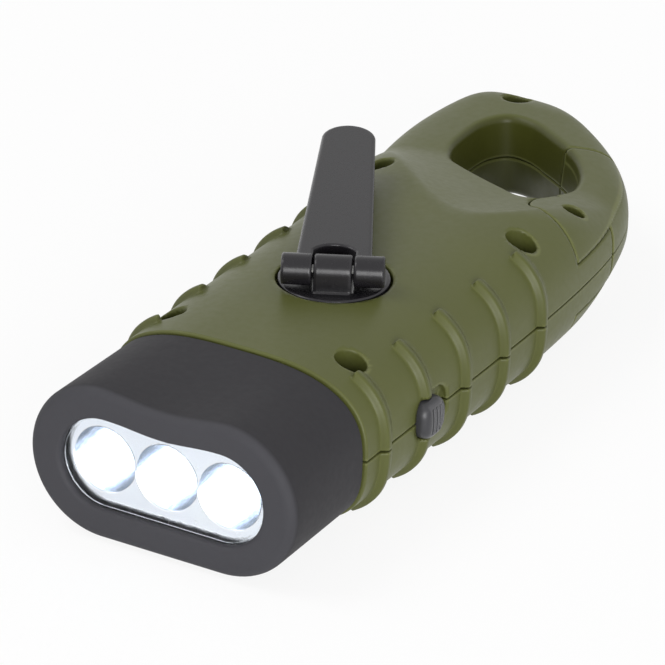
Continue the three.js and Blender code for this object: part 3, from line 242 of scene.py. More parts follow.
@dataclass
class Contour:
    """Turns a distance field into a closed skin on a graded grid.

    Each cell that the surface crosses gets one corner, placed where the tangent planes of the
    crossings meet, so that flat faces stay flat and edges stay crisp.
    """

    shape: Field
    axes: Axes
    normal_reach: float = 0.12
    edge_reach: float = 0.5
    # How far outwards the hollow mask for the painted shade looks.
    painted_shade_reach: float = 3.0

    def gradient(self, places: Array, reach: float) -> Array:
        """Unit normals of the field at places."""
        total = np.zeros_like(places)
        for way in ((1, 1, 1), (1, -1, -1), (-1, 1, -1), (-1, -1, 1)):
            step = np.array(way, float)
            moved = places + step * reach
            total += step * self.shape(moved[:, 0], moved[:, 1], moved[:, 2])[:, None]
        return total / np.maximum(np.linalg.norm(total, axis=1, keepdims=True), 1e-12)

    def skin(self) -> Skin:
        """The closed surface where the field is zero."""
        grid = self.axes
        values = self.shape(grid[0][:, None, None], grid[1][None, :, None], grid[2][None, None, :])
        values = np.array(np.broadcast_to(values, tuple(len(axis) for axis in grid)))
        for axis in range(3):
            for end in (0, -1):
                face = np.moveaxis(values, axis, 0)
                face[end] = np.maximum(face[end], 1e-3)
        solid = values < 0.0
        cells = np.array([len(axis) - 1 for axis in grid])
        sums: list[Array] = []
        owners: list[Array] = []
        faces: list[Array] = []
        for axis in range(3):
            start = np.moveaxis(solid, axis, 0)[:-1]
            end = np.moveaxis(solid, axis, 0)[1:]
            found = np.argwhere(start != end)
            order = [axis] + [other for other in range(3) if other != axis]
            index = np.zeros_like(found)
            for column, target in enumerate(order):
                index[:, target] = found[:, column]
            crossing, normal = self.crossings(values, index, axis)
            second, third = (axis + 1) % 3, (axis + 2) % 3
            corners = []
            for shift in ((-1, -1), (0, -1), (0, 0), (-1, 0)):
                cell = index.copy()
                cell[:, second] += shift[0]
                cell[:, third] += shift[1]
                corners.append((cell[:, 0] * cells[1] + cell[:, 1]) * cells[2] + cell[:, 2])
            outwards = solid[index[:, 0], index[:, 1], index[:, 2]]
            quads = np.stack(corners, 1)
            faces.append(np.where(outwards[:, None], quads, quads[:, ::-1]))
            along = (normal * crossing).sum(1)
            row = np.column_stack([
                normal[:, 0] ** 2, normal[:, 0] * normal[:, 1], normal[:, 0] * normal[:, 2],
                normal[:, 1] ** 2, normal[:, 1] * normal[:, 2], normal[:, 2] ** 2,
                normal * along[:, None], crossing, np.ones(len(normal)),
            ])
            for corner in corners:
                owners.append(corner)
                sums.append(row)
        owner = np.concatenate(owners)
        used, where = np.unique(owner, return_inverse=True)
        row = np.concatenate(sums)
        total = np.column_stack([np.bincount(where, row[:, c], len(used)) for c in range(row.shape[1])])
        places = self.corner_places(total, used, cells)
        lookup = np.concatenate(faces)
        quads = np.searchsorted(used, lookup)
        normals = self.gradient(places, self.normal_reach)
        # Edge mask for the painted highlight: high where the field stays near zero a little way inside, at
        # convex edges.
        near = self.shape(*(places - normals * self.edge_reach).T)
        edge = np.clip(1.0 + near / self.edge_reach, 0.0, 1.0)
        # Hollow mask for the painted shade: high where another surface lies within the reach outwards.
        far = self.shape(*(places + normals * self.painted_shade_reach).T)
        hollow = np.clip(1.0 - far / self.painted_shade_reach, 0.0, 1.0)
        return Skin(places, normals, quads, edge, hollow)

    def crossings(self, values: Array, index: Array, axis: int) -> tuple[Array, Array]:
        """Where the grid's edges along an axis cross the surface, and its normals there."""
        after = index.copy()
        after[:, axis] += 1
        low = np.column_stack([self.axes[c][index[:, c]] for c in range(3)])
        high = np.column_stack([self.axes[c][after[:, c]] for c in range(3)])
        first = values[index[:, 0], index[:, 1], index[:, 2]]
        second = values[after[:, 0], after[:, 1], after[:, 2]]
        for _ in range(3):
            share = np.clip(first / np.where(first == second, 1.0, first - second), 0.02, 0.98)[:, None]
            place = low + share * (high - low)
            value = self.shape(place[:, 0], place[:, 1], place[:, 2])
            same = (value < 0.0) == (first < 0.0)
            low = np.where(same[:, None], place, low)
            high = np.where(same[:, None], high, place)
            first = np.where(same, value, first)
            second = np.where(same, second, value)
        share = np.clip(first / np.where(first == second, 1.0, first - second), 0.0, 1.0)[:, None]
        place = low + share * (high - low)
        return place, self.gradient(place, 0.02)

    def corner_places(self, total: Array, used: Array, cells: Array) -> Array:
        """Solves each cell's corner from the sums of its crossings."""
        count = total[:, 12:13]
        middle = total[:, 9:12] / count
        matrix = np.empty((len(used), 3, 3))
        for value, (r, c) in enumerate(((0, 0), (0, 1), (0, 2), (1, 1), (1, 2), (2, 2))):
            matrix[:, r, c] = total[:, value]
            matrix[:, c, r] = total[:, value]
        right = total[:, 6:9] - np.einsum("nij,nj->ni", matrix, middle)
        matrix += np.eye(3) * 0.06 * count[:, :, None]
        places = middle + np.linalg.solve(matrix, right[:, :, None])[:, :, 0]
        k = used % cells[2]
        j = (used // cells[2]) % cells[1]
        i = used // (cells[2] * cells[1])
        for axis, at in enumerate((i, j, k)):
            low = self.axes[axis][at]
            high = self.axes[axis][at + 1]
            places[:, axis] = np.clip(places[:, axis], low, high)
        return places


def add_mesh(name: str, places: Array, faces: Array, smooth: bool = True) -> Thing:
    """Makes an object from places in millimetres and faces of one length."""
    mesh = bpy.data.meshes.new(name)
    size = faces.shape[1]
    mesh.vertices.add(len(places))
    mesh.vertices.foreach_set("co", (places * MM).astype(np.float32).ravel())
    mesh.loops.add(faces.size)
    mesh.loops.foreach_set("vertex_index", faces.astype(np.int32).ravel())
    mesh.polygons.add(len(faces))
    mesh.polygons.foreach_set("loop_start", np.arange(0, faces.size, size, dtype=np.int32))
    mesh.update(calc_edges=True)
    mesh.validate()
    mesh.polygons.foreach_set("use_smooth", np.full(len(mesh.polygons), smooth))
    thing = bpy.data.objects.new(name, mesh)
    bpy.context.scene.collection.objects.link(thing)
    return thing


def add_skin(name: str, skin: Skin, place: Matrix | None = None, flip: bool = False) -> Thing:
    """Makes an object from a skin.

    Args:
        name: Name of the object.
        skin: What to make.
        place: Turns and moves it, in millimetres over the parting plane.
        flip: Mirrors it about the parting plane first.

    Returns:
        The object, in the CAD frame.
    """
    mirror = np.array([1.0, 1.0, -1.0 if flip else 1.0])
    places, normals = skin.places * mirror, skin.normals * mirror
    quads = skin.quads[:, ::-1] if flip else skin.quads
    if place is not None:
        matrix = np.array(place)
        places = places @ matrix[:3, :3].T + matrix[:3, 3]
        normals = normals @ matrix[:3, :3].T
    places[:, 2] += PARTING_Z
    thing = add_mesh(name, places, quads)
    mesh = thing.data
    if len(mesh.vertices) == len(normals):
        mesh.normals_split_custom_set_from_vertices(normals.tolist())
        # Masks for the painted highlight on edges and the painted shade in hollows.
        for title, values in (("edge", skin.edge), ("hollow", skin.hollow)):
            layer = mesh.attributes.new(title, "FLOAT", "POINT")
            layer.data.foreach_set("value", values.astype(np.float32))
    return thing


def add_rings(name: str, rings: Sequence[Array]) -> Thing:
    """Joins rings of equal counts into one closed skin, the last to the first."""
    count = len(rings[0])
    ring, here = np.divmod(np.arange(len(rings) * count), count)
    ahead = (here + 1) % count
    row, following = ring * count, (ring + 1) % len(rings) * count
    faces = np.column_stack([row + here, row + ahead, following + ahead, following + here])
    places = np.concatenate(rings)
    return add_mesh(name, places + np.array([0.0, 0.0, PARTING_Z]), faces)


def outward(thing: Thing, crease: float = 30.0) -> Thing:
    """Turns a closed mesh's faces outwards and keeps edges sharper than crease degrees."""
    work = bmesh.new()
    work.from_mesh(thing.data)
    bmesh.ops.remove_doubles(work, verts=work.verts, dist=1e-7)
    bmesh.ops.recalc_face_normals(work, faces=work.faces)
    work.to_mesh(thing.data)
    work.free()
    thing.data.set_sharp_from_angle(angle=math.radians(crease))
    return thing


def revolved(name: str, profile: Loop, centre: Point, segments: int = 48) -> Thing:
    """A closed solid of revolution about an axis along Y.

    Args:
        name: Name of the object.
        profile: Points as (radius, y), first and last on the axis.
        centre: The axis as (x, height over the parting plane).
        segments: Steps round the axis.

    Returns:
        The object, with its poles closed.
    """
    work = bmesh.new()
    rows = []
    for radius, y in profile:
        if radius < 1e-6:
            rows.append([work.verts.new(Vector((centre[0], y, centre[1] + PARTING_Z)) * MM)])
            continue
        row = []
        for k in range(segments):
            turn = 2.0 * math.pi * k / segments
            place = (centre[0] + radius * math.cos(turn), y, centre[1] + PARTING_Z + radius * math.sin(turn))
            row.append(work.verts.new(Vector(place) * MM))
        rows.append(row)
    for first, second in zip(rows, rows[1:]):
        for k in range(segments):
            ahead = (k + 1) % segments
            corners = [first[k % len(first)], first[ahead % len(first)]]
            corners += [second[ahead % len(second)], second[k % len(second)]]
            unique = list(dict.fromkeys(corners))
            if len(unique) > 2:
                work.faces.new(unique)
    mesh = bpy.data.meshes.new(name)
    work.to_mesh(mesh)
    work.free()
    thing = bpy.data.objects.new(name, mesh)
    bpy.context.scene.collection.objects.link(thing)
    mesh.polygons.foreach_set("use_smooth", np.full(len(mesh.polygons), True))
    return outward(thing)


# The housing's form


def spline(points: Sequence[Sequence[float]], per_span: int) -> Array:
    """Points on a uniform Catmull-Rom curve through given ones."""
    knots = np.array(points, float)
    last = len(knots) - 1
    places = []
    for step in range(last * per_span + 1):
        at = min(step // per_span, last - 1)
        t = step / per_span - at
        before = knots[max(at - 1, 0)]
        here = knots[at]
        after = knots[at + 1]
        beyond = knots[min(at + 2, last)]
        v0 = (after - before) / 2.0
        v1 = (beyond - here) / 2.0
        place = (2 * here - 2 * after + v0 + v1) * t**3
        place += (-3 * here + 3 * after - 2 * v0 - v1) * t**2 + v0 * t + here
        places.append(place)
    return np.array(places)


def closed_spline(points: Sequence[Sequence[float]], count: int) -> Array:
    """Points on a closed centripetal Catmull-Rom curve through given ones."""
    knots = np.array(points, float)
    total = len(knots)
    places = []
    for step in range(count):
        at = step * total / count
        base = int(at)
        t = at - base
        p = [knots[(base + shift) % total] for shift in (-1, 0, 1, 2)]
        d = [max(float(np.linalg.norm(p[i + 1] - p[i])) ** 0.5, 1e-4) for i in range(3)]
        t1 = ((p[1] - p[0]) / d[0] - (p[2] - p[0]) / (d[0] + d[1]) + (p[2] - p[1]) / d[1]) * d[1]
        t2 = ((p[2] - p[1]) / d[1] - (p[3] - p[1]) / (d[1] + d[2]) + (p[3] - p[2]) / d[2]) * d[1]
        c2 = -3 * p[1] + 3 * p[2] - 2 * t1 - t2
        c3 = 2 * p[1] - 2 * p[2] + t1 + t2
        places.append(p[1] + t1 * t + c2 * t * t + c3 * t**3)
    return np.array(places)


def superellipse(a: Array, b: Array, wide: Array | float, high: Array | float, power: float) -> Array:
    """Distance to a superellipse about the origin of a plane."""
    across, up = np.abs(a) / wide, np.abs(b) / high
    size = np.maximum((across**power + up**power) ** (1.0 / power), 1e-6)
    steep = np.hypot((across / size) ** (power - 1.0) / wide, (up / size) ** (power - 1.0) / high)
    return (size - 1.0) / np.maximum(steep, 1e-6)


@dataclass
class HousingForm:
    """The closed form that both shells and the gate are cut from, in millimetres."""

    half_width: float = 22.0
    half_height: float = 13.2
    power: float = 2.8
    seam_y: float = -27.5
    tail_y: float = 91.3
    crease_y: float = 30.2
    crease_x: float = 4.5
    crease_bend: float = 5.0
    crease_spread: Point = (0.9, 1.15)
    ring_half_height: float = 7.3
    ring_barrel_height: float = 9.2
    slope_end_y: float = 60.0
    ring_start_y: float = 49.0
    ring_y: float = 54.5
    last_crease_y: float = 45.0
    tail_round: float = 9.0
    ring_blend: float = 3.4
    crease_blend: float = 0.4
    tail_power: float = 2.3
    rim_round: float = 1.2
    hole_draft: float = 0.08
    hole_flare: float = 4.0
    flare_span: Point = (5.5, 13.5)
    plan_shares: tuple[Point, ...] = (
        (-1, -0.5), (-1, -0.3), (-1, -0.1), (-1, 0.1), (-1.005, 0.25), (-1.04, 0.4), (-1.12, 0.53),
        (-1.2, 0.64), (-1.24, 0.73), (-1.235, 0.81), (-1.18, 0.89), (-1.07, 0.955), (-0.92, 0.99),
        (-0.73, 1), (-0.5, 0.987), (-0.25, 0.955), (0.02, 0.912), (0.26, 0.866), (0.47, 0.815),
        (0.65, 0.755), (0.78, 0.69), (0.89, 0.59), (0.955, 0.46), (0.99, 0.3), (1, 0.1), (1, -0.1),
        (1, -0.3), (1, -0.5),
    )
    hole_shares: tuple[Point, ...] = (
        (0.37, 0.578), (0.4, 0.64), (0.33, 0.7), (0.17, 0.755), (0.02, 0.786), (-0.16, 0.814),
        (-0.38, 0.843), (-0.55, 0.845), (-0.65, 0.81), (-0.67, 0.75), (-0.64, 0.69), (-0.55, 0.647),
        (-0.38, 0.613), (-0.16, 0.584), (0.08, 0.558), (0.25, 0.542), (0.33, 0.55),
    )
    left: Array = field(init=False)
    right: Array = field(init=False)
    tip_y: float = field(init=False)
    hole: Outline = field(init=False)

    def __post_init__(self) -> None:
        """Works out the plan's sides and the hole's table."""
        scale = np.array([self.half_width, self.tail_y])
        plan = spline(np.array(self.plan_shares) * scale, 40)
        tip = int(plan[:, 1].argmax())
        self.left = plan[: tip + 1]
        self.right = plan[tip:][::-1]
        self.tip_y = float(plan[tip, 1])
        self.hole = Outline(closed_spline(np.array(self.hole_shares) * scale, 220), 22.0, 0.2)

    def plan(self, y: Array) -> tuple[Array, Array]:
        """Middle and half width of the plan at Y."""
        left, right = (np.interp(y, side[:, 1], side[:, 0]) for side in (self.left, self.right))
        return (left + right) / 2.0, (right - left) / 2.0

    def crease(self, x: Array) -> Array:
        """Y of the curved line where the slope starts."""
        away = (x - self.crease_x) * np.where(x < self.crease_x, *self.crease_spread)
        start = self.crease_y + np.hypot(away, self.crease_bend) - self.crease_bend
        return soft_min(start, np.full_like(start, self.last_crease_y), 6.0)

    def slope(self, x: Array, y: Array) -> Array:
        """Height of the tail's top over the parting plane."""
        start = self.crease(x)
        steepness = (self.half_height - self.ring_half_height) / (self.ring_y - start)
        straight = self.half_height - steepness * (y - start)
        ring = -soft_min(-straight, -self.ring_half_height, self.ring_blend)
        return soft_min(np.full_like(ring, self.half_height), ring, self.crease_blend)

    def body(self, x: Array, y: Array, z: Array, inset: float = 0.0) -> Array:
        """Distance to the form, shrunk by an inset."""
        middle, half = self.plan(y)
        half = np.maximum(half - inset, 0.1)
        tail = np.clip((y - (self.tip_y - self.tail_round)) / self.tail_round, 0.0, 1.0)
        ending = np.maximum(1.0 - tail**self.tail_power, 1e-5) ** (1.0 / self.tail_power)
        start = self.crease(x)
        drop = smoothstep(y - start, 0.0, self.slope_end_y - start)
        crown = self.half_height + (self.ring_barrel_height - self.half_height) * drop - inset
        across = np.abs(x - middle) / half
        dome = crown * np.maximum(1.0 - across**self.power, 1e-9) ** (1.0 / self.power)
        reach = smoothstep(y, self.ring_start_y, self.slope_end_y)
        blend = self.crease_blend + (self.ring_blend - self.crease_blend) * reach
        share = np.clip(soft_min(dome, self.slope(x, y) - inset, blend) / dome, 0.05, 1.0)
        crown = crown * share * ending
        distance = superellipse(x - middle, z, half, crown, self.power)
        return np.maximum(distance, y - self.tip_y)

    def holed(self, x: Array, y: Array, z: Array, skin: Array, side: Half) -> Array:
        """A skin with the loop's hole, which widens from the parting plane and flares at the underside."""
        widening = self.hole_draft * np.abs(z)
        if side is Half.LOWER:
            widening = widening + self.hole_flare * smoothstep(z, *self.flare_span)
        return both(skin, widening - self.hole.distance(x, y), self.rim_round)


def shade_hole(form: HousingForm, skin: Skin) -> Skin:
    """Marks the wall of the loop's hole as hollow, so that it gets the painted shade colour."""
    x, y, z = skin.places.T
    past = form.hole.distance(x, y) - form.hole_draft * np.abs(z)
    skin.hollow = np.maximum(skin.hollow, 0.9 * (1.0 - smoothstep(past, 0.15, 1.1)))
    return skin


@dataclass
class GateSeams:
    """The outlines between the gate and the housing, about the gate's pivot."""

    pivot: Point = (15.3, 47.9)
    nose_radius: float = 7.0
    pivot_bore: float = 1.7
    tongue_half_height: float = 4.4
    front: Point = (20.2, 39.6)
    reach: float = 28.2
    nose_end: float = math.radians(165)
    swing: float = math.radians(25)
    gap_turn: float = math.radians(4)
    exit_length: float = 4.0
    free_end: float = math.radians(122)
    outer: float = math.radians(50)

    def arc(self, radius: float, start: float, end: float, steps: int = 40) -> Loop:
        """Points of an arc about the pivot."""
        turns = np.linspace(start, end, steps + 1)
        return [(self.pivot[0] + radius * math.cos(t), self.pivot[1] + radius * math.sin(t)) for t in turns]

    def leaving(self, radius: float, turn: float, margin: float) -> Point:
        """Where a seam leaves the nose's arc and runs out into the hole."""
        cos, sin = math.cos(turn), math.sin(turn)
        return (self.pivot[0] + radius * cos + margin * sin, self.pivot[1] + radius * sin - margin * cos)

    def cheek(self, margin: float, nose_end: float) -> Outline:
        """The plan of the gate's cheeks, shrunk by a margin."""
        to_x, to_y = self.front[0] - self.pivot[0], self.front[1] - self.pivot[1]
        tangent = math.atan2(to_y, to_x) - math.acos(self.nose_radius / math.hypot(to_x, to_y))
        reach = self.reach - margin
        corner = (self.front[0] - margin * math.cos(tangent), self.front[1] - margin * math.sin(tangent))
        points = self.arc(self.nose_radius - margin, tangent + 2 * math.pi, nose_end + self.gap_turn)
        points.append(self.leaving(self.nose_radius - margin, nose_end, margin))
        points.append(self.leaving(self.nose_radius + self.exit_length, nose_end, margin))
        points += self.arc(reach, self.free_end, self.outer)
        points += [(self.pivot[0] + reach, self.pivot[1]), (corner[0] + 5.0, corner[1]), corner]
        return Outline(points)

    def middle(self, margin: float, nose_end: float) -> Outline:
        """The plan of the gate behind the tongue, shrunk by a margin."""
        radius = self.nose_radius + HALF_FIT + margin
        points = self.arc(radius, 0.0, nose_end - self.gap_turn)
        points.append(self.leaving(radius, nose_end, margin))
        points.append(self.leaving(self.nose_radius + self.exit_length, nose_end, margin))
        points += self.arc(self.reach - margin, self.free_end, 0.0)
        return Outline(points)


@dataclass
class GateSpace:
    """The gate's space: its cheeks over the tongue and its middle behind it."""

    seams: GateSeams
    margin: float
    nose_end: float
    cheek: Outline = field(init=False)
    middle: Outline = field(init=False)

    def __post_init__(self) -> None:
        """Makes the two outlines."""
        self.cheek = self.seams.cheek(self.margin, self.nose_end)
        self.middle = self.seams.middle(self.margin, self.nose_end)

    def distance(self, x: Array, y: Array, z: Array) -> Array:
        """Distance to the space, negative inside."""
        height = np.abs(z)
        over = np.maximum(self.cheek.distance(x, y), self.seams.tongue_half_height + self.margin - height)
        behind = np.maximum(self.middle.distance(x, y), height - self.seams.tongue_half_height - FIT)
        return np.minimum(over, behind)


@dataclass
class GripRibs:
    """The five ribs on each side, raised from the form with a steep front and a soft ramp behind."""

    count: int = 5
    pitch: float = 12.05
    first_y: float = -22.7
    height: float = 1.0
    front: float = 0.95
    crest: float = 0.45
    ramp: float = 2.3
    start_x: float = 17.2
    side_ramp: float = 0.9

    def rise(self, x: Array, y: Array) -> Array:
        """How far the form is raised."""
        total = 0.0
        before_start = np.maximum(self.start_x - np.abs(x), 0.0) / self.side_ramp
        for i in range(self.count):
            along = y - (self.first_y + i * self.pitch)
            ahead = np.maximum(-along, 0.0) / self.front
            behind = np.maximum(along - self.crest, 0.0) / self.ramp
            away = np.sqrt(before_start**2 + (ahead + behind) ** 2)
            total = total + self.height * (1.0 - smoothstep(away, 0.0, 1.0))
        return total


@dataclass
class Housing:
    """Upper and lower shell, with ribs, screw recesses, hub recess, switch pocket and gate seams."""

    form: HousingForm
    seams: GateSeams
    ribs: GripRibs = field(default_factory=GripRibs)
    wall: float = 2.0
    neck_inset: float = 2.85
    neck_front_y: float = -34.1
    neck_end_y: float = -22.5
    seam_round: float = 0.35
    foot_round: float = 0.4
    screw_bore: float = 1.45
    thread_bore: float = 1.3
    thread_top: float = 5.6
    spring_room: Point = (4.6, 2.4)
    hub_recess: Point = (8.9, 11.3)
    stem_bore: float = 2.7
    axle_top: float = 11.0
    axle_bore: float = 1.2
    shaft_bore: float = 1.0
    plate_thread_top: float = 8.0
    upper_post: float = 3.7
    lower_post: float = 3.55
    hub_seat: Point = (10.3, 9.6)
    hub_sleeve: Point = (4.6, 7.6)
    idler_post: Point = (1.95, 7.9)
    plate_post: Point = (2.3, 4.2)
    rotor_post: Point = (2.2, 9.8)
    stator_seat: Triple = (9.8, 8.8, 8.3)
    rail_spans: tuple[Point, Point] = ((15.5, 17.5), (29.5, 31.5))
    rail_half: float = 5.75
    rail_low: float = 10.1
    pocket_y: float = -8.3
    pocket_half: Point = (4.6, 3.4)
    pocket_corner: float = 2.7
    pocket_low_x: float = 21.1
    pocket_round: float = 0.25
    slot_span: Point = (-11.4, -5.2)
    slot_half: float = 1.5
    slot_low_x: float = 18.0
    cavity_end_y: float = 36.0
    recess_radius: float = 2.45
    head_seat: float = 3.0
    edge_round: float = 0.22
    screws: tuple[Point, ...] = (
        (14.52, -19.81), (-16.5, -19.81), (15.4, 30.49), (-16.4, 41.9), (-15.18, 85.37),
    )
    idler: Point = (0.0, 20.8)
    rotor: Point = (-0.086, -2.643)
    plate_posts: tuple[Point, ...] = ((13.2, 5.6), (-15.04, 21.92))
    slot_space: GateSpace = field(init=False)

    def __post_init__(self) -> None:
        """Makes the gate's space as the shells are cut by it."""
        self.slot_space = GateSpace(self.seams, -HALF_FIT, self.seams.nose_end)

    def section(self, x: Array, z: Array, inset: float) -> Array:
        """Distance to the straight section at the seam, shrunk by an inset."""
        form = self.form
        return superellipse(x, z, form.half_width - inset, form.half_height - inset, form.power)

    def hollow(self, x: Array, y: Array, z: Array) -> Array:
        """The space inside the shells and the neck."""
        room = self.form.body(x, y, z, self.wall)
        room = np.maximum(room, np.maximum(self.form.seam_y + self.wall - y, y - self.cavity_end_y))
        neck = np.maximum(self.section(x, z, self.neck_inset + self.wall), y - self.neck_end_y)
        return np.minimum(room, neck)

    def half(self, x: Array, y: Array, z: Array, side: Half) -> Array:
        """One shell over the parting plane; the lower one is mirrored afterwards."""
        form = self.form
        plain = form.body(x, y, z)
        shell = form.holed(x, y, z, plain - self.ribs.rise(x, y), side)
        shell = both(shell, form.seam_y - y, self.seam_round)
        neck = np.maximum(self.section(x, z, self.neck_inset), slab(y, self.neck_front_y, self.neck_end_y))
        shell = np.minimum(shell, neck)
        shell = cut(shell, self.hollow(x, y, z))
        shell = np.minimum(shell, np.maximum(self.bosses(x, y, z, side), form.body(x, y, z, self.wall / 2)))
        for place in self.screws:
            if side is Half.UPPER:
                recess = np.maximum(rod(x, y, place, self.recess_radius), self.head_seat - z)
                shell = without(shell, recess, self.edge_round)
                shell = cut(shell, rod(x, y, place, self.screw_bore))
            else:
                thread = np.maximum(rod(x, y, place, self.thread_bore), z - self.thread_top)
                shell = cut(shell, thread)
        shell = without(shell, self.slot_space.distance(x, y, z), self.edge_round)
        shell = cut(shell, rod(x, y, self.seams.pivot, self.seams.pivot_bore))
        radius, top = self.spring_room
        shell = cut(shell, np.maximum(rod(x, y, self.seams.pivot, radius), z - top))
        shell = self.switch_cut(x, y, z, shell)
        if side is Half.UPPER:
            radius, low = self.hub_recess
            shell = without(shell, np.maximum(rod(x, y, HUB, radius), low - z), self.edge_round)
            shell = cut(shell, rod(x, y, HUB, self.stem_bore))
            shell = cut(shell, np.maximum(rod(x, y, self.idler, self.axle_bore), z - self.axle_top))
        else:
            shell = both(shell, z - PARTING_Z, self.foot_round)
            for place in self.plate_posts:
                thread = np.maximum(rod(x, y, place, self.thread_bore), z - self.plate_thread_top)
                shell = cut(shell, thread)
            shell = cut(shell, np.maximum(rod(x, y, self.rotor, self.shaft_bore), z - self.axle_top))
        return both(shell, HALF_FIT - z, PARTING_ROUND)

    def bosses(self, x: Array, y: Array, z: Array, side: Half) -> Array:
        """Posts and seats inside a shell."""
        near = [place for place in self.screws if place[1] < self.cavity_end_y]
        if side is Half.UPPER:
            posts = [(place, self.upper_post, 0.0) for place in near]
            posts += [(HUB, *self.hub_seat), (HUB, *self.hub_sleeve), (self.idler, *self.idler_post)]
        else:
            posts = [(place, self.lower_post, 0.0) for place in near]
            posts += [(place, *self.plate_post) for place in self.plate_posts]
            posts += [(self.rotor, *self.rotor_post)]
        total = None
        for place, radius, low in posts:
            post = np.maximum(rod(x, y, place, radius), low - z)
            total = post if total is None else np.minimum(total, post)
        if side is Half.LOWER:
            outer, inner, low = self.stator_seat
            seat = cut(rod(x, y, self.rotor, outer), rod(x, y, self.rotor, inner))
            seat = np.maximum(seat, low - z)
            first, second = (slab(y, *span) for span in self.rail_spans)
            rails = np.maximum(np.minimum(first, second), self.rail_low - z)
            rails = np.maximum(rails, slab(x, -self.rail_half, self.rail_half))
            total = np.minimum(total, np.minimum(seat, rails))
        return total

    def switch_cut(self, x: Array, y: Array, z: Array, shell: Array) -> Array:
        """Cuts the slide switch's pocket and slot."""
        pocket = oval(y - self.pocket_y, z, self.pocket_half, self.pocket_corner)
        shell = without(shell, np.maximum(pocket, self.pocket_low_x - x), self.pocket_round)
        slot = np.maximum(slab(y, *self.slot_span), np.abs(z) - self.slot_half)
        slot = np.maximum(slot, self.slot_low_x - x)
        return cut(shell, slot)

    def axes(self) -> Axes:
        """Grid planes: close at the sides, the ribs, the gate and the parting plane."""
        steps = [i * self.ribs.pitch for i in range(self.ribs.count)]
        ribs = [(-23.8 + step, -22.0 + step, 0.24) for step in steps]
        along = graded(-34.6, 91.9, 0.75, ribs + [(-28.0, -27.0, 0.15), (29.0, 91.9, 0.42)])
        sides = [(-28.0, -14.5, 0.42), (14.0, 23.6, 0.36), (-9.4, -8.4, 0.3), (8.4, 9.4, 0.3)]
        across = graded(-28.0, 23.6, 0.7, sides)
        up = graded(-0.1, 14.2, 0.5, [(0.05, 0.4, 0.1), (10.9, 13.4, 0.32)])
        return across, along, up

    def build(self, finishes: Finishes) -> None:
        """Makes both shells."""
        for side, name in ((Half.UPPER, "upper_shell"), (Half.LOWER, "lower_shell")):
            skin = Contour(lambda x, y, z, s=side: self.half(x, y, z, s), self.axes()).skin()
            x, y, z = skin.places.T
            # No painted edge highlight round the gate's pivot.
            skin.edge[(rod(x, y, self.seams.pivot, 6.5) < 0.0) & (slab(z, 0.5, 2.9) < 0.0)] = 0.0
            piece = add_skin(name + "_skin", shade_hole(self.form, skin), flip=side is Half.LOWER)
            stands_for(piece, "housing", Slot.OLIVE, finishes, name)


@dataclass
class Gate:
    """The two halves of the spring gate."""

    form: HousingForm
    seams: GateSeams
    recess_radius: float = 1.75
    head_seat: float = 6.2
    thread_top: float = 7.9
    edge_round: float = 0.25
    space: GateSpace = field(init=False)

    def __post_init__(self) -> None:
        """Makes the gate's space with room to swing."""
        nose_end = self.seams.nose_end - self.seams.swing - self.seams.gap_turn / 2
        self.space = GateSpace(self.seams, HALF_FIT, nose_end)

    def half(self, x: Array, y: Array, z: Array, side: Half) -> Array:
        """One half over the parting plane."""
        skin = self.form.holed(x, y, z, self.form.body(x, y, z), side)
        skin = both(skin, self.space.distance(x, y, z), self.edge_round)
        bore = rod(x, y, self.seams.pivot, self.seams.pivot_bore)
        if side is Half.UPPER:
            recess = np.maximum(rod(x, y, self.seams.pivot, self.recess_radius), self.head_seat - z)
            skin = without(cut(skin, bore), recess, self.edge_round)
        else:
            skin = cut(skin, np.maximum(bore, z - self.thread_top))
        return both(skin, HALF_FIT - z, PARTING_ROUND)

    def build(self, finishes: Finishes) -> None:
        """Makes both halves."""
        axes = (
            graded(-0.5, 23.0, 0.34),
            graded(35.8, 76.5, 0.34),
            graded(-0.1, 11.6, 0.36, [(0.05, 0.4, 0.1)]),
        )
        for side, name in ((Half.UPPER, "gate_upper"), (Half.LOWER, "gate_lower")):
            skin = Contour(lambda x, y, z, s=side: self.half(x, y, z, s), axes).skin()
            piece = add_skin(name + "_skin", shade_hole(self.form, skin), flip=side is Half.LOWER)
            stands_for(piece, "gate", Slot.OLIVE, finishes, name)


# Bezel, window, reflector and lamps


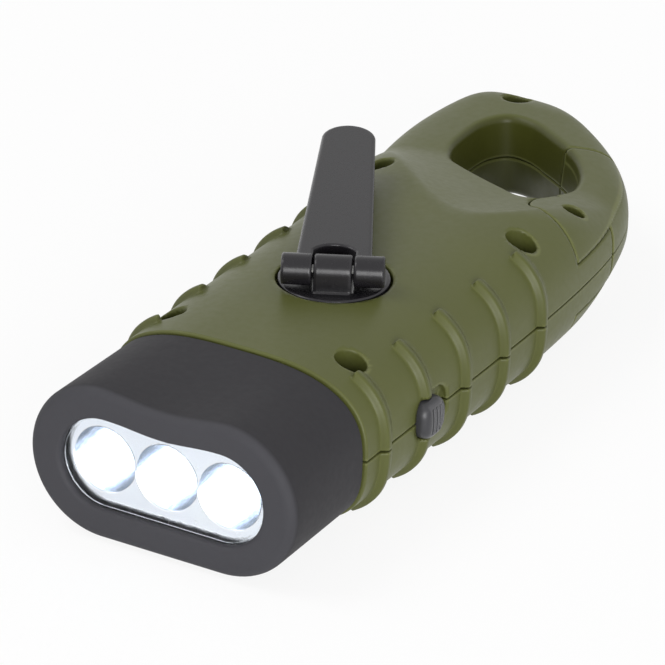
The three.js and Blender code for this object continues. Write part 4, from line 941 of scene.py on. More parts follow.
@dataclass
class LampHead:
    """The rubber bezel, the clear window, the reflector with its cups, and the three lamps."""

    front_y: float = -49.2
    seam_y: float = -27.5
    half_width: float = 22.0
    half_height: float = 13.2
    power: float = 2.8
    step: float = 0.35
    face_half_width: float = 22.6
    face_half_height: float = 12.3
    pinch: float = 0.087
    waist_share: float = 0.55
    face_round: float = 1.7
    wall: float = 2.2
    opening: Point = (17.2, 7.3)
    chamfer: float = 0.8
    land: float = 0.9
    back_edge: float = 0.35
    lip: float = 1.4
    pocket_margin: float = 0.9
    neck_front_y: float = -34.1
    cup_front_y: float = -46.9
    cup_pitch: float = 10.6
    cup_radius: float = 5.2
    cup_depth: float = 8.6
    led_radius: float = 2.5
    flange: Triple = (2.9, 0.15, 1.0)
    dome_y: float = -5.2
    flange_room: Point = (3.2, -37.7)
    plate_span: Point = (-47.65, -47.05)
    raised_span: Point = (-48.2, -47.3)
    lamp_base_y: float = -36.1
    face_sheen: float = 0.9
    reflector_outline: Outline = field(init=False)

    def loop(self, wide: float, high: float, arc_steps: int = 40, flat_steps: int = 40) -> Array:
        """A loop with round ends whose upper side is drawn in at the middle, as (x, z)."""
        straight = wide - high
        points = []
        for side in (1, -1):
            for i in range(arc_steps + 1):
                turn = math.radians(-90 + 180 * i / arc_steps)
                points.append((side * (straight + high * math.cos(turn)), side * high * math.sin(turn)))
            for i in range(1, flat_steps):
                at = straight + (-2 * straight) * i / flat_steps
                points.append((side * at, side * high))
        loop = np.array(points)
        near = np.cos(np.clip(loop[:, 0] / (self.waist_share * wide), -1, 1) * math.pi / 2)
        loop[:, 1] *= np.where(loop[:, 1] > 0, 1 - self.pinch * near * near, 1.0)
        return loop

    def ring(self, y: float, inset: float) -> Array:
        """One ring of the bezel: the body's section at the seam, the waisted loop at the face."""
        share = min(max((self.seam_y - y) / (self.seam_y - self.front_y - self.face_round), 0.0), 1.0)
        wide = self.half_width - self.step - inset
        high = self.half_height - self.step - inset
        loop = self.loop(self.face_half_width - inset, self.face_half_height - inset)
        total = np.abs(loop[:, 0] / wide) ** self.power + np.abs(loop[:, 1] / high) ** self.power
        grown = loop * (total ** (-1.0 / self.power))[:, None]
        mixed = grown * (1 - share) + loop * share
        return self.flat(mixed, y)

    def flat(self, loop: Array, y: float) -> Array:
        """A loop of (x, z) as a ring at Y."""
        return np.column_stack([loop[:, 0], np.full(len(loop), y), loop[:, 1]])

    def bezel(self) -> Thing:
        """The bezel as one closed sleeve of rings."""
        rings = []
        back = self.seam_y - FIT
        edge = self.back_edge
        for i in range(5):
            turn = QUARTER * i / 4
            rings.append(self.ring(back - edge * math.sin(turn), edge * (1 - math.sin(turn))))
        for share in np.linspace(0.08, 1.0, 9):
            rings.append(self.ring(back + (self.front_y + self.face_round - back) * share, 0.0))
        for i in range(1, 9):
            turn = QUARTER * i / 8
            y = self.front_y + self.face_round * (1 - math.sin(turn))
            rings.append(self.ring(y, self.face_round * (1 - math.cos(turn))))
        wide, high = self.opening
        land = self.chamfer + self.land
        rings.append(self.flat(self.loop(wide + land, high + land), self.front_y))
        for i in range(7):
            turn = QUARTER * i / 6
            grow = self.chamfer * (1 - math.sin(turn))
            y = self.front_y + self.chamfer * (1 - math.cos(turn))
            rings.append(self.flat(self.loop(wide + grow, high + grow), y))
        rings.append(self.flat(self.loop(wide, high), self.front_y + self.lip))
        pocket = self.loop(wide + self.pocket_margin, high + self.pocket_margin)
        rings.append(self.flat(pocket, self.front_y + self.lip + 0.01))
        rings.append(self.flat(pocket, self.neck_front_y - FIT))
        inner = self.ring(self.seam_y, self.wall)
        rings.append(self.flat(inner[:, [0, 2]], self.neck_front_y - FIT + 0.01))
        rings.append(self.flat(inner[:, [0, 2]], back))
        sleeve = outward(add_rings("bezel_sleeve", rings), 35.0)
        depth = np.array([-vertex.co.y / MM for vertex in sleeve.data.vertices])
        # Painted sheen on the bezel's face: the edge mask, and with it the lighter painted highlight colour,
        # grows towards the front.
        painted_sheen = sleeve.data.attributes.new("edge", "FLOAT", "POINT")
        painted_sheen.data.foreach_set("value", self.face_sheen * smoothstep(depth, 47.3, 49.1))
        return sleeve

    def reflector_field(self, x: Array, y: Array, z: Array) -> Array:
        """Distance to the plated block with three bowls."""
        front = self.cup_front_y
        room, room_y = self.flange_room
        outline = self.reflector_outline.distance(x, z)
        block = both(outline, slab(y, front, self.lamp_base_y), 0.3)
        for side in (-1, 0, 1):
            radius = np.hypot(x - side * self.cup_pitch, z)
            share = np.clip((y - front) / self.cup_depth, -0.2, 1.0)
            bowl = self.cup_radius - (self.cup_radius - self.led_radius - FIT) * share * np.abs(share)
            cup = np.maximum((radius - bowl) * 0.85, y - front - self.cup_depth)
            bore = np.minimum(radius - self.led_radius - FIT, np.maximum(radius - room, room_y - y))
            block = without(block, cup, 0.18)
            block = cut(block, bore)
        return block

    def build(self, finishes: Finishes) -> None:
        """Makes the bezel, window and reflector."""
        stands_for(self.bezel(), "housing", Slot.RUBBER, finishes, "bezel")
        wide = self.opening[0] + self.pocket_margin - FIT
        high = self.opening[1] + self.pocket_margin - FIT
        self.reflector_outline = Outline(self.loop(wide, high), 3.0, 0.1)
        step = Outline(self.loop(self.opening[0] - FIT, self.opening[1] - FIT), 3.0, 0.1)
        fine = (graded(-18.9, 18.9, 0.24), graded(-47.2, -35.8, 0.24), graded(-8.4, 8.4, 0.24))
        # The cups' hollow mask reaches further, for painted shade deep in the bowls.
        skin = Contour(self.reflector_field, fine, painted_shade_reach=4.0).skin()
        stands_for(add_skin("reflector_cups", skin), "housing", Slot.CHROME, finishes, "reflector")

        def pane(x: Array, y: Array, z: Array) -> Array:
            """Distance to the window with its step."""
            plate = both(self.reflector_outline.distance(x, z), slab(y, *self.plate_span), 0.12)
            raised = both(step.distance(x, z), slab(y, *self.raised_span), 0.15)
            return np.minimum(plate, raised)

        fine = (graded(-18.9, 18.9, 0.45), graded(-48.5, -46.8, 0.16), graded(-8.4, 8.4, 0.36))
        skin = Contour(pane, fine).skin()
        stands_for(add_skin("window_pane", skin), "housing", Slot.WINDOW, finishes, "lens_window")

    def lamp(self) -> Thing:
        """One lamp with its flange, facing -Y from the origin."""
        radius, edge, height = self.flange
        profile: Loop = [(0.0, 0.0), (radius - edge, 0.0), (radius, -edge), (radius, edge - height)]
        profile += [(radius - edge, -height), (self.led_radius + 0.1, -height)]
        profile.append((self.led_radius, -height - 0.1))
        for i in range(13):
            turn = QUARTER * i / 12
            reach = self.led_radius * math.cos(turn)
            profile.append((reach if i < 12 else 0.0, self.dome_y - self.led_radius * math.sin(turn)))
        return revolved("lamp", profile, (0.0, -PARTING_Z))


# Crank


@dataclass
class Crank:
    """Hub disc with its knuckle, folding arm and knob."""

    heading: float = math.radians(27.1)
    tilt: float = math.radians(3.9)
    disc_radius: float = 8.5
    disc_top: float = 13.1
    disc_thickness: float = 1.5
    disc_round: float = 0.35
    hinge_offset: float = 3.6
    hinge_z: float = 15.9
    hinge_radius: float = 2.4
    pin_radius: float = 0.8
    knuckle: float = 5.7
    outer_knuckle: float = 4.6
    arm_length: float = 43.6
    base_half: float = 5.8
    tip_half: float = 4.2
    arm_top: float = 1.4
    arm_thickness: float = 2.2
    arm_edge: float = 0.55
    slot_reach: float = 5.4
    arch_share: float = 1.2
    slot_round: float = 0.3
    slot_end: float = 2.0
    knob_screw_bore: float = 0.9
    knob_place: float = 39.5
    knob_radius: float = 3.8
    knob_height: float = 3.7
    knob_bore: float = 1.8
    stem_radius: float = 2.4
    stem_low: float = 7.3
    root_fillet: float = 0.4
    square_half: float = 1.8
    square_span: Point = (4.8, 7.6)
    screw_bore: float = 1.3
    peg_radius: float = 1.5
    peg_length: float = 2.9
    knob_neck: Triple = (0.88, 0.15, 0.62)
    knob_round: float = 0.45
    washer_room: Point = (2.2, 2.8)
    barrel_round: float = 0.35
    arm_outline: Outline = field(init=False)

    def hub_field(self, x: Array, y: Array, z: Array) -> Array:
        """Distance to the hub in the crank's own frame."""
        bottom = self.disc_top - self.disc_thickness
        rim = np.hypot(x, y) - self.disc_radius
        disc = both(rim, slab(z, bottom, self.disc_top), self.disc_round)
        half = self.knuckle / 2
        away = np.hypot(y + self.hinge_offset, z - self.hinge_z)
        barrel = both(away - self.hinge_radius, np.abs(x) - half, self.barrel_round)
        sides = slab(y, -self.hinge_offset - self.hinge_radius, -self.hinge_offset + self.hinge_radius)
        foot = np.maximum(sides, slab(z, self.disc_top - 0.6, self.hinge_z))
        foot = both(foot, np.abs(x) - half, self.barrel_round)
        hub = either(disc, np.minimum(barrel, foot), self.root_fillet)
        stem = np.maximum(np.hypot(x, y) - self.stem_radius, slab(z, self.stem_low, bottom + 0.3))
        square = np.maximum(np.maximum(np.abs(x), np.abs(y)) - self.square_half, slab(z, *self.square_span))
        hub = np.minimum(hub, np.minimum(stem, square))
        hub = cut(hub, rod(y, z, (-self.hinge_offset, self.hinge_z), self.pin_radius + FIT))
        return cut(hub, np.maximum(np.hypot(x, y) - self.screw_bore, z - self.square_span[1]))

    def arm_field(self, x: Array, y: Array, z: Array) -> Array:
        """Distance to the arm in its own frame: hinge axis on X, arm along +Y."""
        low = self.arm_top - self.arm_thickness
        plate = both(self.arm_outline.distance(x, y), slab(z, low, self.arm_top), self.arm_edge)
        gap = self.knuckle / 2 + FIT
        outer = gap + self.outer_knuckle
        barrels = both(np.hypot(y, z) - self.hinge_radius, slab(np.abs(x), gap, outer), self.barrel_round)
        arch = self.arch_share * gap
        slot = np.hypot(x, np.maximum(y - self.slot_reach + arch, 0.0)) - arch
        slot = np.maximum(slot, np.abs(x) - gap)
        arm = either(without(plate, slot, self.slot_round), barrels, self.barrel_round)
        arm = cut(arm, np.maximum(np.abs(x) - gap, y - self.slot_end))
        peg = rod(x, y, (0.0, self.knob_place), self.peg_radius)
        peg = np.maximum(peg, slab(z, low - self.peg_length, low + 0.3))
        arm = np.minimum(arm, peg)
        arm = cut(arm, np.hypot(y, z) - self.pin_radius - FIT)
        screw = rod(x, y, (0.0, self.knob_place), self.knob_screw_bore)
        return cut(arm, np.maximum(screw, z - low + 0.3))

    def knob_field(self, x: Array, y: Array, z: Array) -> Array:
        """Distance to the knob below the arm, from its top face down."""
        down = -z / self.knob_height
        neck, start, end = self.knob_neck
        radius = self.knob_radius * (neck + (1.0 - neck) * smoothstep(down, start, end))
        away = np.hypot(x, y)
        knob = both(away - radius, slab(z, -self.knob_height, 0.0), self.knob_round)
        knob = cut(knob, away - self.knob_bore)
        room, depth = self.washer_room
        return without(knob, np.maximum(away - room, z + depth), 0.15)

    def build(self, finishes: Finishes) -> None:
        """Makes the hub, arm and knob."""
        turn = Matrix.Rotation(self.heading, 4, "Z")
        axes = (graded(-9.4, 9.4, 0.3), graded(-9.4, 9.4, 0.3), graded(4.4, 18.8, 0.3))
        hub = add_skin("crank_hub", Contour(self.hub_field, axes).skin(), turn)
        stands_for(hub, "crank", Slot.BLACK, finishes, "crank_disc")
        tip = self.arm_length - self.tip_half
        outline: Loop = [(-self.base_half, 0.0), (self.base_half, 0.0)]
        for i in range(49):
            at = math.pi * i / 48
            outline.append((self.tip_half * math.cos(at), tip + self.tip_half * math.sin(at)))
        self.arm_outline = Outline(outline, 4.0, 0.12)
        pin = Matrix.Translation((0.0, -self.hinge_offset, self.hinge_z))
        hinge = turn @ pin @ Matrix.Rotation(self.tilt, 4, "X")
        along = graded(-2.8, 46.0, 0.42, [(-2.8, 7.0, 0.24), (40.0, 46.0, 0.26)])
        axes = (graded(-8.2, 8.2, 0.26), along, graded(-4.3, 2.8, 0.2))
        arm = add_skin("crank_lever", Contour(self.arm_field, axes).skin(), hinge)
        stands_for(arm, "arm", Slot.BLACK, finishes, "crank_arm")
        low = self.arm_top - self.arm_thickness - FIT
        place = hinge @ Matrix.Translation((0.0, self.knob_place, low))
        axes = (graded(-4.3, 4.3, 0.26), graded(-4.3, 4.3, 0.26), graded(-4.2, 0.5, 0.22))
        knob = add_skin("crank_grip", Contour(self.knob_field, axes).skin(), place)
        stands_for(knob, "knob", Slot.BLACK, finishes, "crank_knob")


@dataclass
class SlideSwitch:
    """The grooved thumb cap with its neck and carriage."""

    switch_y: float = -9.8
    dome: float = 0.045
    outer: float = 24.0
    thickness: float = 2.6
    groove: float = 0.45
    depth: float = 0.4
    count: int = 4
    cap_half: Point = (3.1, 3.1)
    cap_corner: float = 2.3
    groove_half: float = 2.05
    groove_shift: float = 0.35
    neck: Triple = (1.3, 1.2, 19.1)
    neck_top: float = 22.7
    carriage: Triple = (3.2, 2.3, 18.3)
    carriage_top: float = 19.4

    def slider_field(self, x: Array, y: Array, z: Array) -> Array:
        """Distance to the slider."""
        along = y - self.switch_y
        domed = x + self.dome * (along**2 + z**2)
        cap = oval(along, z, self.cap_half, self.cap_corner)
        cap = both(cap, slab(domed, self.outer - self.thickness, self.outer), 1.0)
        for i in range(self.count):
            at = (i - (self.count - 1) / 2) * 2.2 * self.groove + self.groove_shift
            wall = np.maximum(np.abs(along - at) - self.groove / 2, self.outer - self.depth - domed)
            cap = without(cap, np.maximum(wall, np.abs(z) - self.groove_half), 0.08)
        for (long, high, low), top in ((self.neck, self.neck_top), (self.carriage, self.carriage_top)):
            block = np.maximum(np.abs(along) - long, np.abs(z) - high)
            cap = np.minimum(cap, np.maximum(block, slab(x, low, top)))
        return cap

    def build(self, finishes: Finishes) -> None:
        """Makes the slider."""
        across = graded(18.0, 24.3, 0.22, [(23.2, 24.1, 0.1)])
        axes = (across, graded(-13.3, -6.3, 0.11), graded(-3.4, 3.4, 0.2))
        slider = add_skin("switch_cap", Contour(self.slider_field, axes).skin())
        stands_for(slider, "switch", Slot.GREY, finishes, "switch_slider")


# Pieces made by geometry nodes


class NodePiece:
    """A geometry node tree with named inputs, and what runs it into a plain mesh."""

    def __init__(self, title: str, sockets: Sequence[tuple[str, str]]) -> None:
        """Makes an empty tree.

        Args:
            title: Name of the tree.
            sockets: Its inputs as (name, socket type).
        """
        self.tree = bpy.data.node_groups.new(title, "GeometryNodeTree")
        self.keys: dict[str, str] = {}
        for name, kind in sockets:
            socket = self.tree.interface.new_socket(name, in_out="INPUT", socket_type="NodeSocket" + kind)
            self.keys[name] = socket.identifier
        self.tree.interface.new_socket("Geometry", in_out="OUTPUT", socket_type="NodeSocketGeometry")
        self.given = self.tree.nodes.new("NodeGroupInput")
        self.made = self.tree.nodes.new("NodeGroupOutput")

    def node(self, kind: str, **inputs: Socket | float | int) -> bpy.types.Node:
        """Adds a node and fills inputs, whose names are written with underscores for spaces."""
        node = self.tree.nodes.new(kind)
        for name, value in inputs.items():
            socket = node.inputs[name.replace("_", " ")]
            if isinstance(value, Socket):
                self.tree.links.new(value, socket)
            else:
                socket.default_value = value
        return node

    def finished(self, geometry: Socket) -> None:
        """Ends the tree: instances become one mesh with one finish."""
        whole = self.node("GeometryNodeRealizeInstances", Geometry=geometry)
        finish = self.given.outputs["Finish"]
        dressed = self.node("GeometryNodeSetMaterial", Geometry=whole.outputs[0], Material=finish)
        self.tree.links.new(dressed.outputs[0], self.made.inputs[0])

    def run(self, thing: Thing, **values: object) -> Thing:
        """Sets the inputs, evaluates the tree on an object and keeps the plain mesh that comes out."""
        modifier = thing.modifiers.new(self.tree.name, "NODES")
        modifier.node_group = self.tree
        for name, value in values.items():
            modifier[self.keys[name.replace("_", " ")]] = value
        graph = bpy.context.evaluated_depsgraph_get()
        mesh = bpy.data.meshes.new_from_object(thing.evaluated_get(graph), depsgraph=graph)
        thing.modifiers.remove(modifier)
        thing.data = mesh
        return thing


def seated_parts() -> NodePiece:
    """A tree that seats copies of one part at a mesh's corners, each with its own turn about Z."""
    sockets = (("Places", "Geometry"), ("Part", "Object"), ("Most Turn", "Float"), ("Seed", "Int"),
               ("Finish", "Material"))
    piece = NodePiece("seated_parts", sockets)
    part = piece.node("GeometryNodeObjectInfo", Object=piece.given.outputs["Part"])
    chance = piece.tree.nodes.new("FunctionNodeRandomValue")
    piece.tree.links.new(piece.given.outputs["Most Turn"], chance.inputs[3])
    piece.tree.links.new(piece.given.outputs["Seed"], chance.inputs["Seed"])
    turn = piece.node("ShaderNodeCombineXYZ", Z=chance.outputs[1])
    turned = piece.node("FunctionNodeEulerToRotation", Euler=turn.outputs[0])
    seated = piece.node("GeometryNodeInstanceOnPoints", Points=piece.given.outputs["Places"],
                        Instance=part.outputs["Geometry"], Rotation=turned.outputs[0])
    piece.finished(seated.outputs[0])
    return piece


def wound_wire() -> NodePiece:
    """A tree that winds a wire into a helix with its middle at the origin."""
    sockets = (("Base", "Geometry"), ("Turns", "Float"), ("Radius", "Float"), ("Height", "Float"),
               ("Wire Radius", "Float"), ("Steps", "Int"), ("Finish", "Material"))
    piece = NodePiece("wound_wire", sockets)
    given = piece.given.outputs
    helix = piece.node("GeometryNodeCurveSpiral", Resolution=given["Steps"], Rotations=given["Turns"],
                       Start_Radius=given["Radius"], End_Radius=given["Radius"], Height=given["Height"])
    ring = piece.node("GeometryNodeCurvePrimitiveCircle", Resolution=12, Radius=given["Wire Radius"])
    wire = piece.node("GeometryNodeCurveToMesh", Curve=helix.outputs[0], Profile_Curve=ring.outputs[0],
                      Fill_Caps=True)
    half = piece.node("ShaderNodeMath")
    half.operation = "MULTIPLY"
    half.inputs[1].default_value = -0.5
    piece.tree.links.new(given["Height"], half.inputs[0])
    down = piece.node("ShaderNodeCombineXYZ", Z=half.outputs[0])
    moved = piece.node("GeometryNodeTransform", Geometry=wire.outputs[0], Translation=down.outputs[0])
    piece.finished(moved.outputs[0])
    return piece


@dataclass(frozen=True)
class Screw:
    """A pan-head screw with a crossed recess and a thread, its seat at height 0."""

    head_radius: float
    head_height: float
    shank_radius: float
    length: float
    pitch: float = 0.9
    slot_half: float = 0.28
    slot_share: float = 0.62

    def distance(self, x: Array, y: Array, z: Array) -> Array:
        """Distance to the screw."""
        away = np.hypot(x, y)
        head = both(away - self.head_radius, slab(z, 0.0, self.head_height), 0.4)
        reach = self.slot_share * self.head_radius
        first = np.maximum(np.abs(x) - self.slot_half, np.abs(y) - reach)
        second = np.maximum(np.abs(y) - self.slot_half, np.abs(x) - reach)
        cross = np.maximum(np.minimum(first, second), 0.4 * self.head_height - z)
        turn = (z / self.pitch - np.arctan2(y, x) / (2.0 * math.pi)) % 1.0
        thread = self.shank_radius - 0.15 * (1.0 - np.abs(2.0 * turn - 1.0))
        shank = np.maximum(away - thread, slab(z, -self.length, 0.3))
        return np.minimum(without(head, cross, 0.06), shank)

    def part(self, name: str) -> Thing:
        """Makes the screw at the origin."""
        reach = self.head_radius + 0.3
        across = graded(-reach, reach, 0.17)
        up = graded(-self.length - 0.3, self.head_height + 0.2, 0.2)
        skin = Contour(self.distance, (across, across, up)).skin()
        return outward(add_mesh(name, skin.places, skin.quads), 32.0)


@dataclass
class Repeats:
    """What repeats or winds: the housing's screws, the three lamps and the gate's spring."""

    housing: Housing
    lamps: LampHead
    seams: GateSeams
    seed: int = 11
    shell_seat: float = 3.3
    pivot_seat: float = 6.5
    spring_turns: float = 2.5
    spring_radius: float = 3.4
    spring_height: float = 3.0
    wire_radius: float = 0.3

    def seats(self, name: str, places: Sequence[Sequence[float]]) -> Thing:
        """An object whose corners are the places, in millimetres over the parting plane."""
        mesh = bpy.data.meshes.new(name)
        corners = [(x * MM, y * MM, (z + PARTING_Z) * MM) for x, y, z in places]
        mesh.from_pydata(corners, [], [])
        thing = bpy.data.objects.new(name, mesh)
        bpy.context.scene.collection.objects.link(thing)
        return thing

    def repeated(self, name: str, part: Thing, places: Sequence[Sequence[float]], turn: float,
                 finish: bpy.types.Material) -> Thing:
        """Seats a part at places and removes the single one."""
        thing = self.seats(name, places)
        seated_parts().run(thing, Part=part, Most_Turn=turn, Seed=self.seed, Finish=finish)
        bpy.data.objects.remove(part)
        return thing

    def build(self, finishes: Finishes) -> None:
        """Makes the three repeated pieces and the gate's screw."""
        screw = Screw(1.9, 1.6, 1.0, 8.0).part("screw")
        places = [(x, y, self.shell_seat) for x, y in self.housing.screws]
        screws = self.repeated("shell_screw_set", screw, places, math.pi, finishes[Slot.STEEL])
        stands_for(screws, "housing", Slot.STEEL, finishes, *SHELL_SCREWS)
        places = [(side * self.lamps.cup_pitch, self.lamps.lamp_base_y, 0.0) for side in (-1, 0, 1)]
        lamps = self.repeated("lamp_row", self.lamps.lamp(), places, 0.0, finishes[Slot.LAMP])
        stands_for(lamps, "housing", Slot.LAMP, finishes, "lamp_left", "lamp_middle", "lamp_right")
        spring = self.seats("gate_spring_wire", [(0.0, 0.0, 0.0)])
        wound_wire().run(spring, Turns=self.spring_turns, Radius=self.spring_radius * MM,
                         Height=self.spring_height * MM, Wire_Radius=self.wire_radius * MM, Steps=32,
                         Finish=finishes[Slot.STEEL])
        shift = Vector((self.seams.pivot[0], self.seams.pivot[1], PARTING_Z)) * MM
        spring.data.transform(Matrix.Translation(shift))
        spring.data.polygons.foreach_set("use_smooth", np.full(len(spring.data.polygons), True))
        stands_for(spring, "housing", Slot.STEEL, finishes, "gate_spring")
        pivot = Screw(1.5, 1.1, 1.4, 14.1).part("gate_pivot_screw")
        seat = Vector((*self.seams.pivot, self.pivot_seat + PARTING_Z)) * MM
        pivot.data.transform(Matrix.Translation(seat))
        stands_for(pivot, "gate", Slot.STEEL, finishes, "gate_screw")


# Finishes


@dataclass(frozen=True)
class Finish:
    """One moulded, plated or painted surface."""

    slot: Slot
    colour: Triple
    # Painted shade: the darker colour taken in hollows.
    painted_shade_colour: Triple
    # Painted highlight: the lighter colour taken on convex edges.
    painted_highlight_colour: Triple
    roughness: float
    metallic: float = 0.0
    grain: float = 900.0
    grain_depth: float = 0.04
    mottle: float = 0.05
    gloss: float = 0.5
    emission: float = 0.0
    transmission: float = 0.0
    ior: float = 1.46


# Each finish: slot, colour, painted shade colour for hollows, painted highlight colour for edges, roughness,
# then the rest.
FINISHES: tuple[Finish, ...] = (
    Finish(Slot.OLIVE, (0.082, 0.090, 0.024), (0.040, 0.043, 0.005), (0.15, 0.16, 0.055), 0.42,
           grain_depth=0.03, gloss=0.3),
    Finish(Slot.RUBBER, (0.026, 0.025, 0.028), (0.018, 0.018, 0.02), (0.058, 0.058, 0.066), 0.66,
           grain_depth=0.06, gloss=0.25),
    Finish(Slot.BLACK, (0.012, 0.011, 0.013), (0.008, 0.008, 0.009), (0.06, 0.058, 0.065), 0.26,
           grain_depth=0.02, gloss=0.4),
    Finish(Slot.GREY, (0.038, 0.038, 0.042), (0.02, 0.02, 0.023), (0.09, 0.09, 0.095), 0.36, gloss=0.4),
    Finish(Slot.WINDOW, (0.97, 0.985, 1.0), (0.97, 0.985, 1.0), (0.97, 0.985, 1.0), 0.02, grain_depth=0.0,
           mottle=0.0, transmission=1.0, ior=1.2),
    Finish(Slot.CHROME, (0.90, 0.93, 0.98), (0.86, 0.91, 0.99), (0.95, 0.96, 0.98), 0.24, 1.0, grain=700.0,
           grain_depth=0.3, mottle=0.04),
    Finish(Slot.LAMP, (0.84, 0.92, 1.0), (0.84, 0.92, 1.0), (0.95, 0.97, 1.0), 0.2, emission=1.3,
           grain_depth=0.0),
    Finish(Slot.STEEL, (0.20, 0.20, 0.195), (0.10, 0.10, 0.095), (0.34, 0.34, 0.33), 0.34, 1.0),
    Finish(Slot.ACETAL, (0.75, 0.72, 0.64), (0.6, 0.57, 0.48), (0.8, 0.78, 0.7), 0.45),
    Finish(Slot.BOARD, (0.03, 0.15, 0.06), (0.02, 0.1, 0.04), (0.3, 0.26, 0.12), 0.4),
    Finish(Slot.COPPER, (0.46, 0.15, 0.045), (0.3, 0.09, 0.02), (0.6, 0.25, 0.1), 0.3, 1.0),
    Finish(Slot.MAGNET, (0.026, 0.026, 0.027), (0.02, 0.02, 0.02), (0.06, 0.06, 0.06), 0.45),
)

SHELL_SCREWS = (
    "shell_screw_front_right", "shell_screw_front_left", "shell_screw_mid_right", "shell_screw_mid_left",
    "shell_screw_tail",
)
NODE_SLOTS: dict[Slot, tuple[str, ...]] = {
    Slot.OLIVE: ("upper_shell", "lower_shell", "gate_upper", "gate_lower"),
    Slot.RUBBER: ("bezel",),
    Slot.BLACK: ("crank_disc", "crank_arm", "crank_knob"),
    Slot.GREY: ("switch_slider", "switch_body"),
    Slot.WINDOW: ("lens_window",),
    Slot.CHROME: ("reflector",),
    Slot.LAMP: ("lamp_left", "lamp_middle", "lamp_right"),
    Slot.STEEL: (
        *SHELL_SCREWS, "crank_screw", "hinge_pin", "knob_screw", "idler_axle_first", "idler_axle_second",
        "rotor_shaft", "stator_core", "plate_screw_right", "plate_screw_left", "rechargeable_cell",
        "cell_clip", "gate_screw", "gate_spring",
    ),
    Slot.ACETAL: ("drive_gear", "idler_gear_first", "idler_gear_second", "rotor_pinion", "gear_plate"),
    Slot.BOARD: ("lamp_board", "main_board"),
    Slot.COPPER: ("stator_coil",),
    Slot.MAGNET: ("rotor_magnet", "capacitor"),
}


def moulded_skin_group() -> Tree:
    """The effect that all finishes share: mottled colour, painted highlights on edges, painted shade in
    hollows and fine grain.

    Returns:
        A shader group with colour, roughness and normal as outputs.
    """
    tree = bpy.data.node_groups.new("moulded_skin", "ShaderNodeTree")
    for title, kind, value in (
        ("Colour", "Color", (0.5, 0.5, 0.5, 1.0)), ("Painted Shade Colour", "Color", (0.3, 0.3, 0.3, 1.0)),
        ("Painted Highlight Colour", "Color", (0.7, 0.7, 0.7, 1.0)), ("Mottle", "Float", 0.05),
        ("Roughness", "Float", 0.5), ("Grain Scale", "Float", 900.0), ("Grain Depth", "Float", 0.03),
    ):
        socket = tree.interface.new_socket(title, in_out="INPUT", socket_type="NodeSocket" + kind)
        socket.default_value = value
    for title, kind in (("Colour", "Color"), ("Roughness", "Float"), ("Normal", "Vector")):
        tree.interface.new_socket(title, in_out="OUTPUT", socket_type="NodeSocket" + kind)
    nodes, links = tree.nodes, tree.links
    given = nodes.new("NodeGroupInput")
    made = nodes.new("NodeGroupOutput")
    place = nodes.new("ShaderNodeTexCoord")
    cloud = nodes.new("ShaderNodeTexNoise")
    cloud.inputs["Scale"].default_value = 60.0
    cloud.inputs["Detail"].default_value = 3.0
    links.new(place.outputs["Object"], cloud.inputs["Vector"])
    grain = nodes.new("ShaderNodeTexNoise")
    grain.inputs["Detail"].default_value = 4.0
    links.new(place.outputs["Object"], grain.inputs["Vector"])
    links.new(given.outputs["Grain Scale"], grain.inputs["Scale"])

    def mix(factor: Socket, a: Socket, b: Socket) -> Socket:
        """A colour between two."""
        node = nodes.new("ShaderNodeMix")
        node.data_type = "RGBA"
        links.new(factor, node.inputs["Factor"])
        links.new(a, node.inputs[6])
        links.new(b, node.inputs[7])
        return node.outputs[2]

    def arithmetic(kind: str, a: Socket, b: Socket | float) -> Socket:
        """One sum of two values."""
        node = nodes.new("ShaderNodeMath")
        node.operation = kind
        links.new(a, node.inputs[0])
        if isinstance(b, float):
            node.inputs[1].default_value = b
        else:
            links.new(b, node.inputs[1])
        return node.outputs[0]

    def marked(title: str, low: float, high: float) -> Socket:
        """How far a mesh's own value has risen from low to high."""
        source = nodes.new("ShaderNodeAttribute")
        source.attribute_name = title
        share = nodes.new("ShaderNodeMapRange")
        share.inputs["From Min"].default_value = low
        share.inputs["From Max"].default_value = high
        links.new(source.outputs["Fac"], share.inputs["Value"])
        return share.outputs["Result"]

    # Painted shade in hollows, from the mesh's hollow mask.
    colour = mix(marked("hollow", 0.25, 1.0), given.outputs["Colour"], given.outputs["Painted Shade Colour"])
    # Painted highlight on convex edges, from the mesh's edge mask.
    colour = mix(arithmetic("MULTIPLY", marked("edge", 0.12, 0.6), 0.6), colour, given.outputs["Painted Highlight Colour"])
    swing = arithmetic("SUBTRACT", cloud.outputs["Fac"], 0.5)
    swing = arithmetic("MULTIPLY", swing, given.outputs["Mottle"])
    bright = nodes.new("ShaderNodeHueSaturation")
    links.new(colour, bright.inputs["Color"])
    links.new(arithmetic("ADD", arithmetic("MULTIPLY", swing, 4.0), 1.0), bright.inputs["Value"])
    links.new(bright.outputs["Color"], made.inputs["Colour"])
    rough = arithmetic("SUBTRACT", grain.outputs["Fac"], 0.5)
    rough = arithmetic("MULTIPLY", rough, 0.16)
    rough = arithmetic("ADD", rough, given.outputs["Roughness"])
    links.new(arithmetic("ADD", rough, swing), made.inputs["Roughness"])
    bump = nodes.new("ShaderNodeBump")
    bump.inputs["Distance"].default_value = 0.0003
    links.new(grain.outputs["Fac"], bump.inputs["Height"])
    links.new(given.outputs["Grain Depth"], bump.inputs["Strength"])
    links.new(bump.outputs["Normal"], made.inputs["Normal"])
    return tree


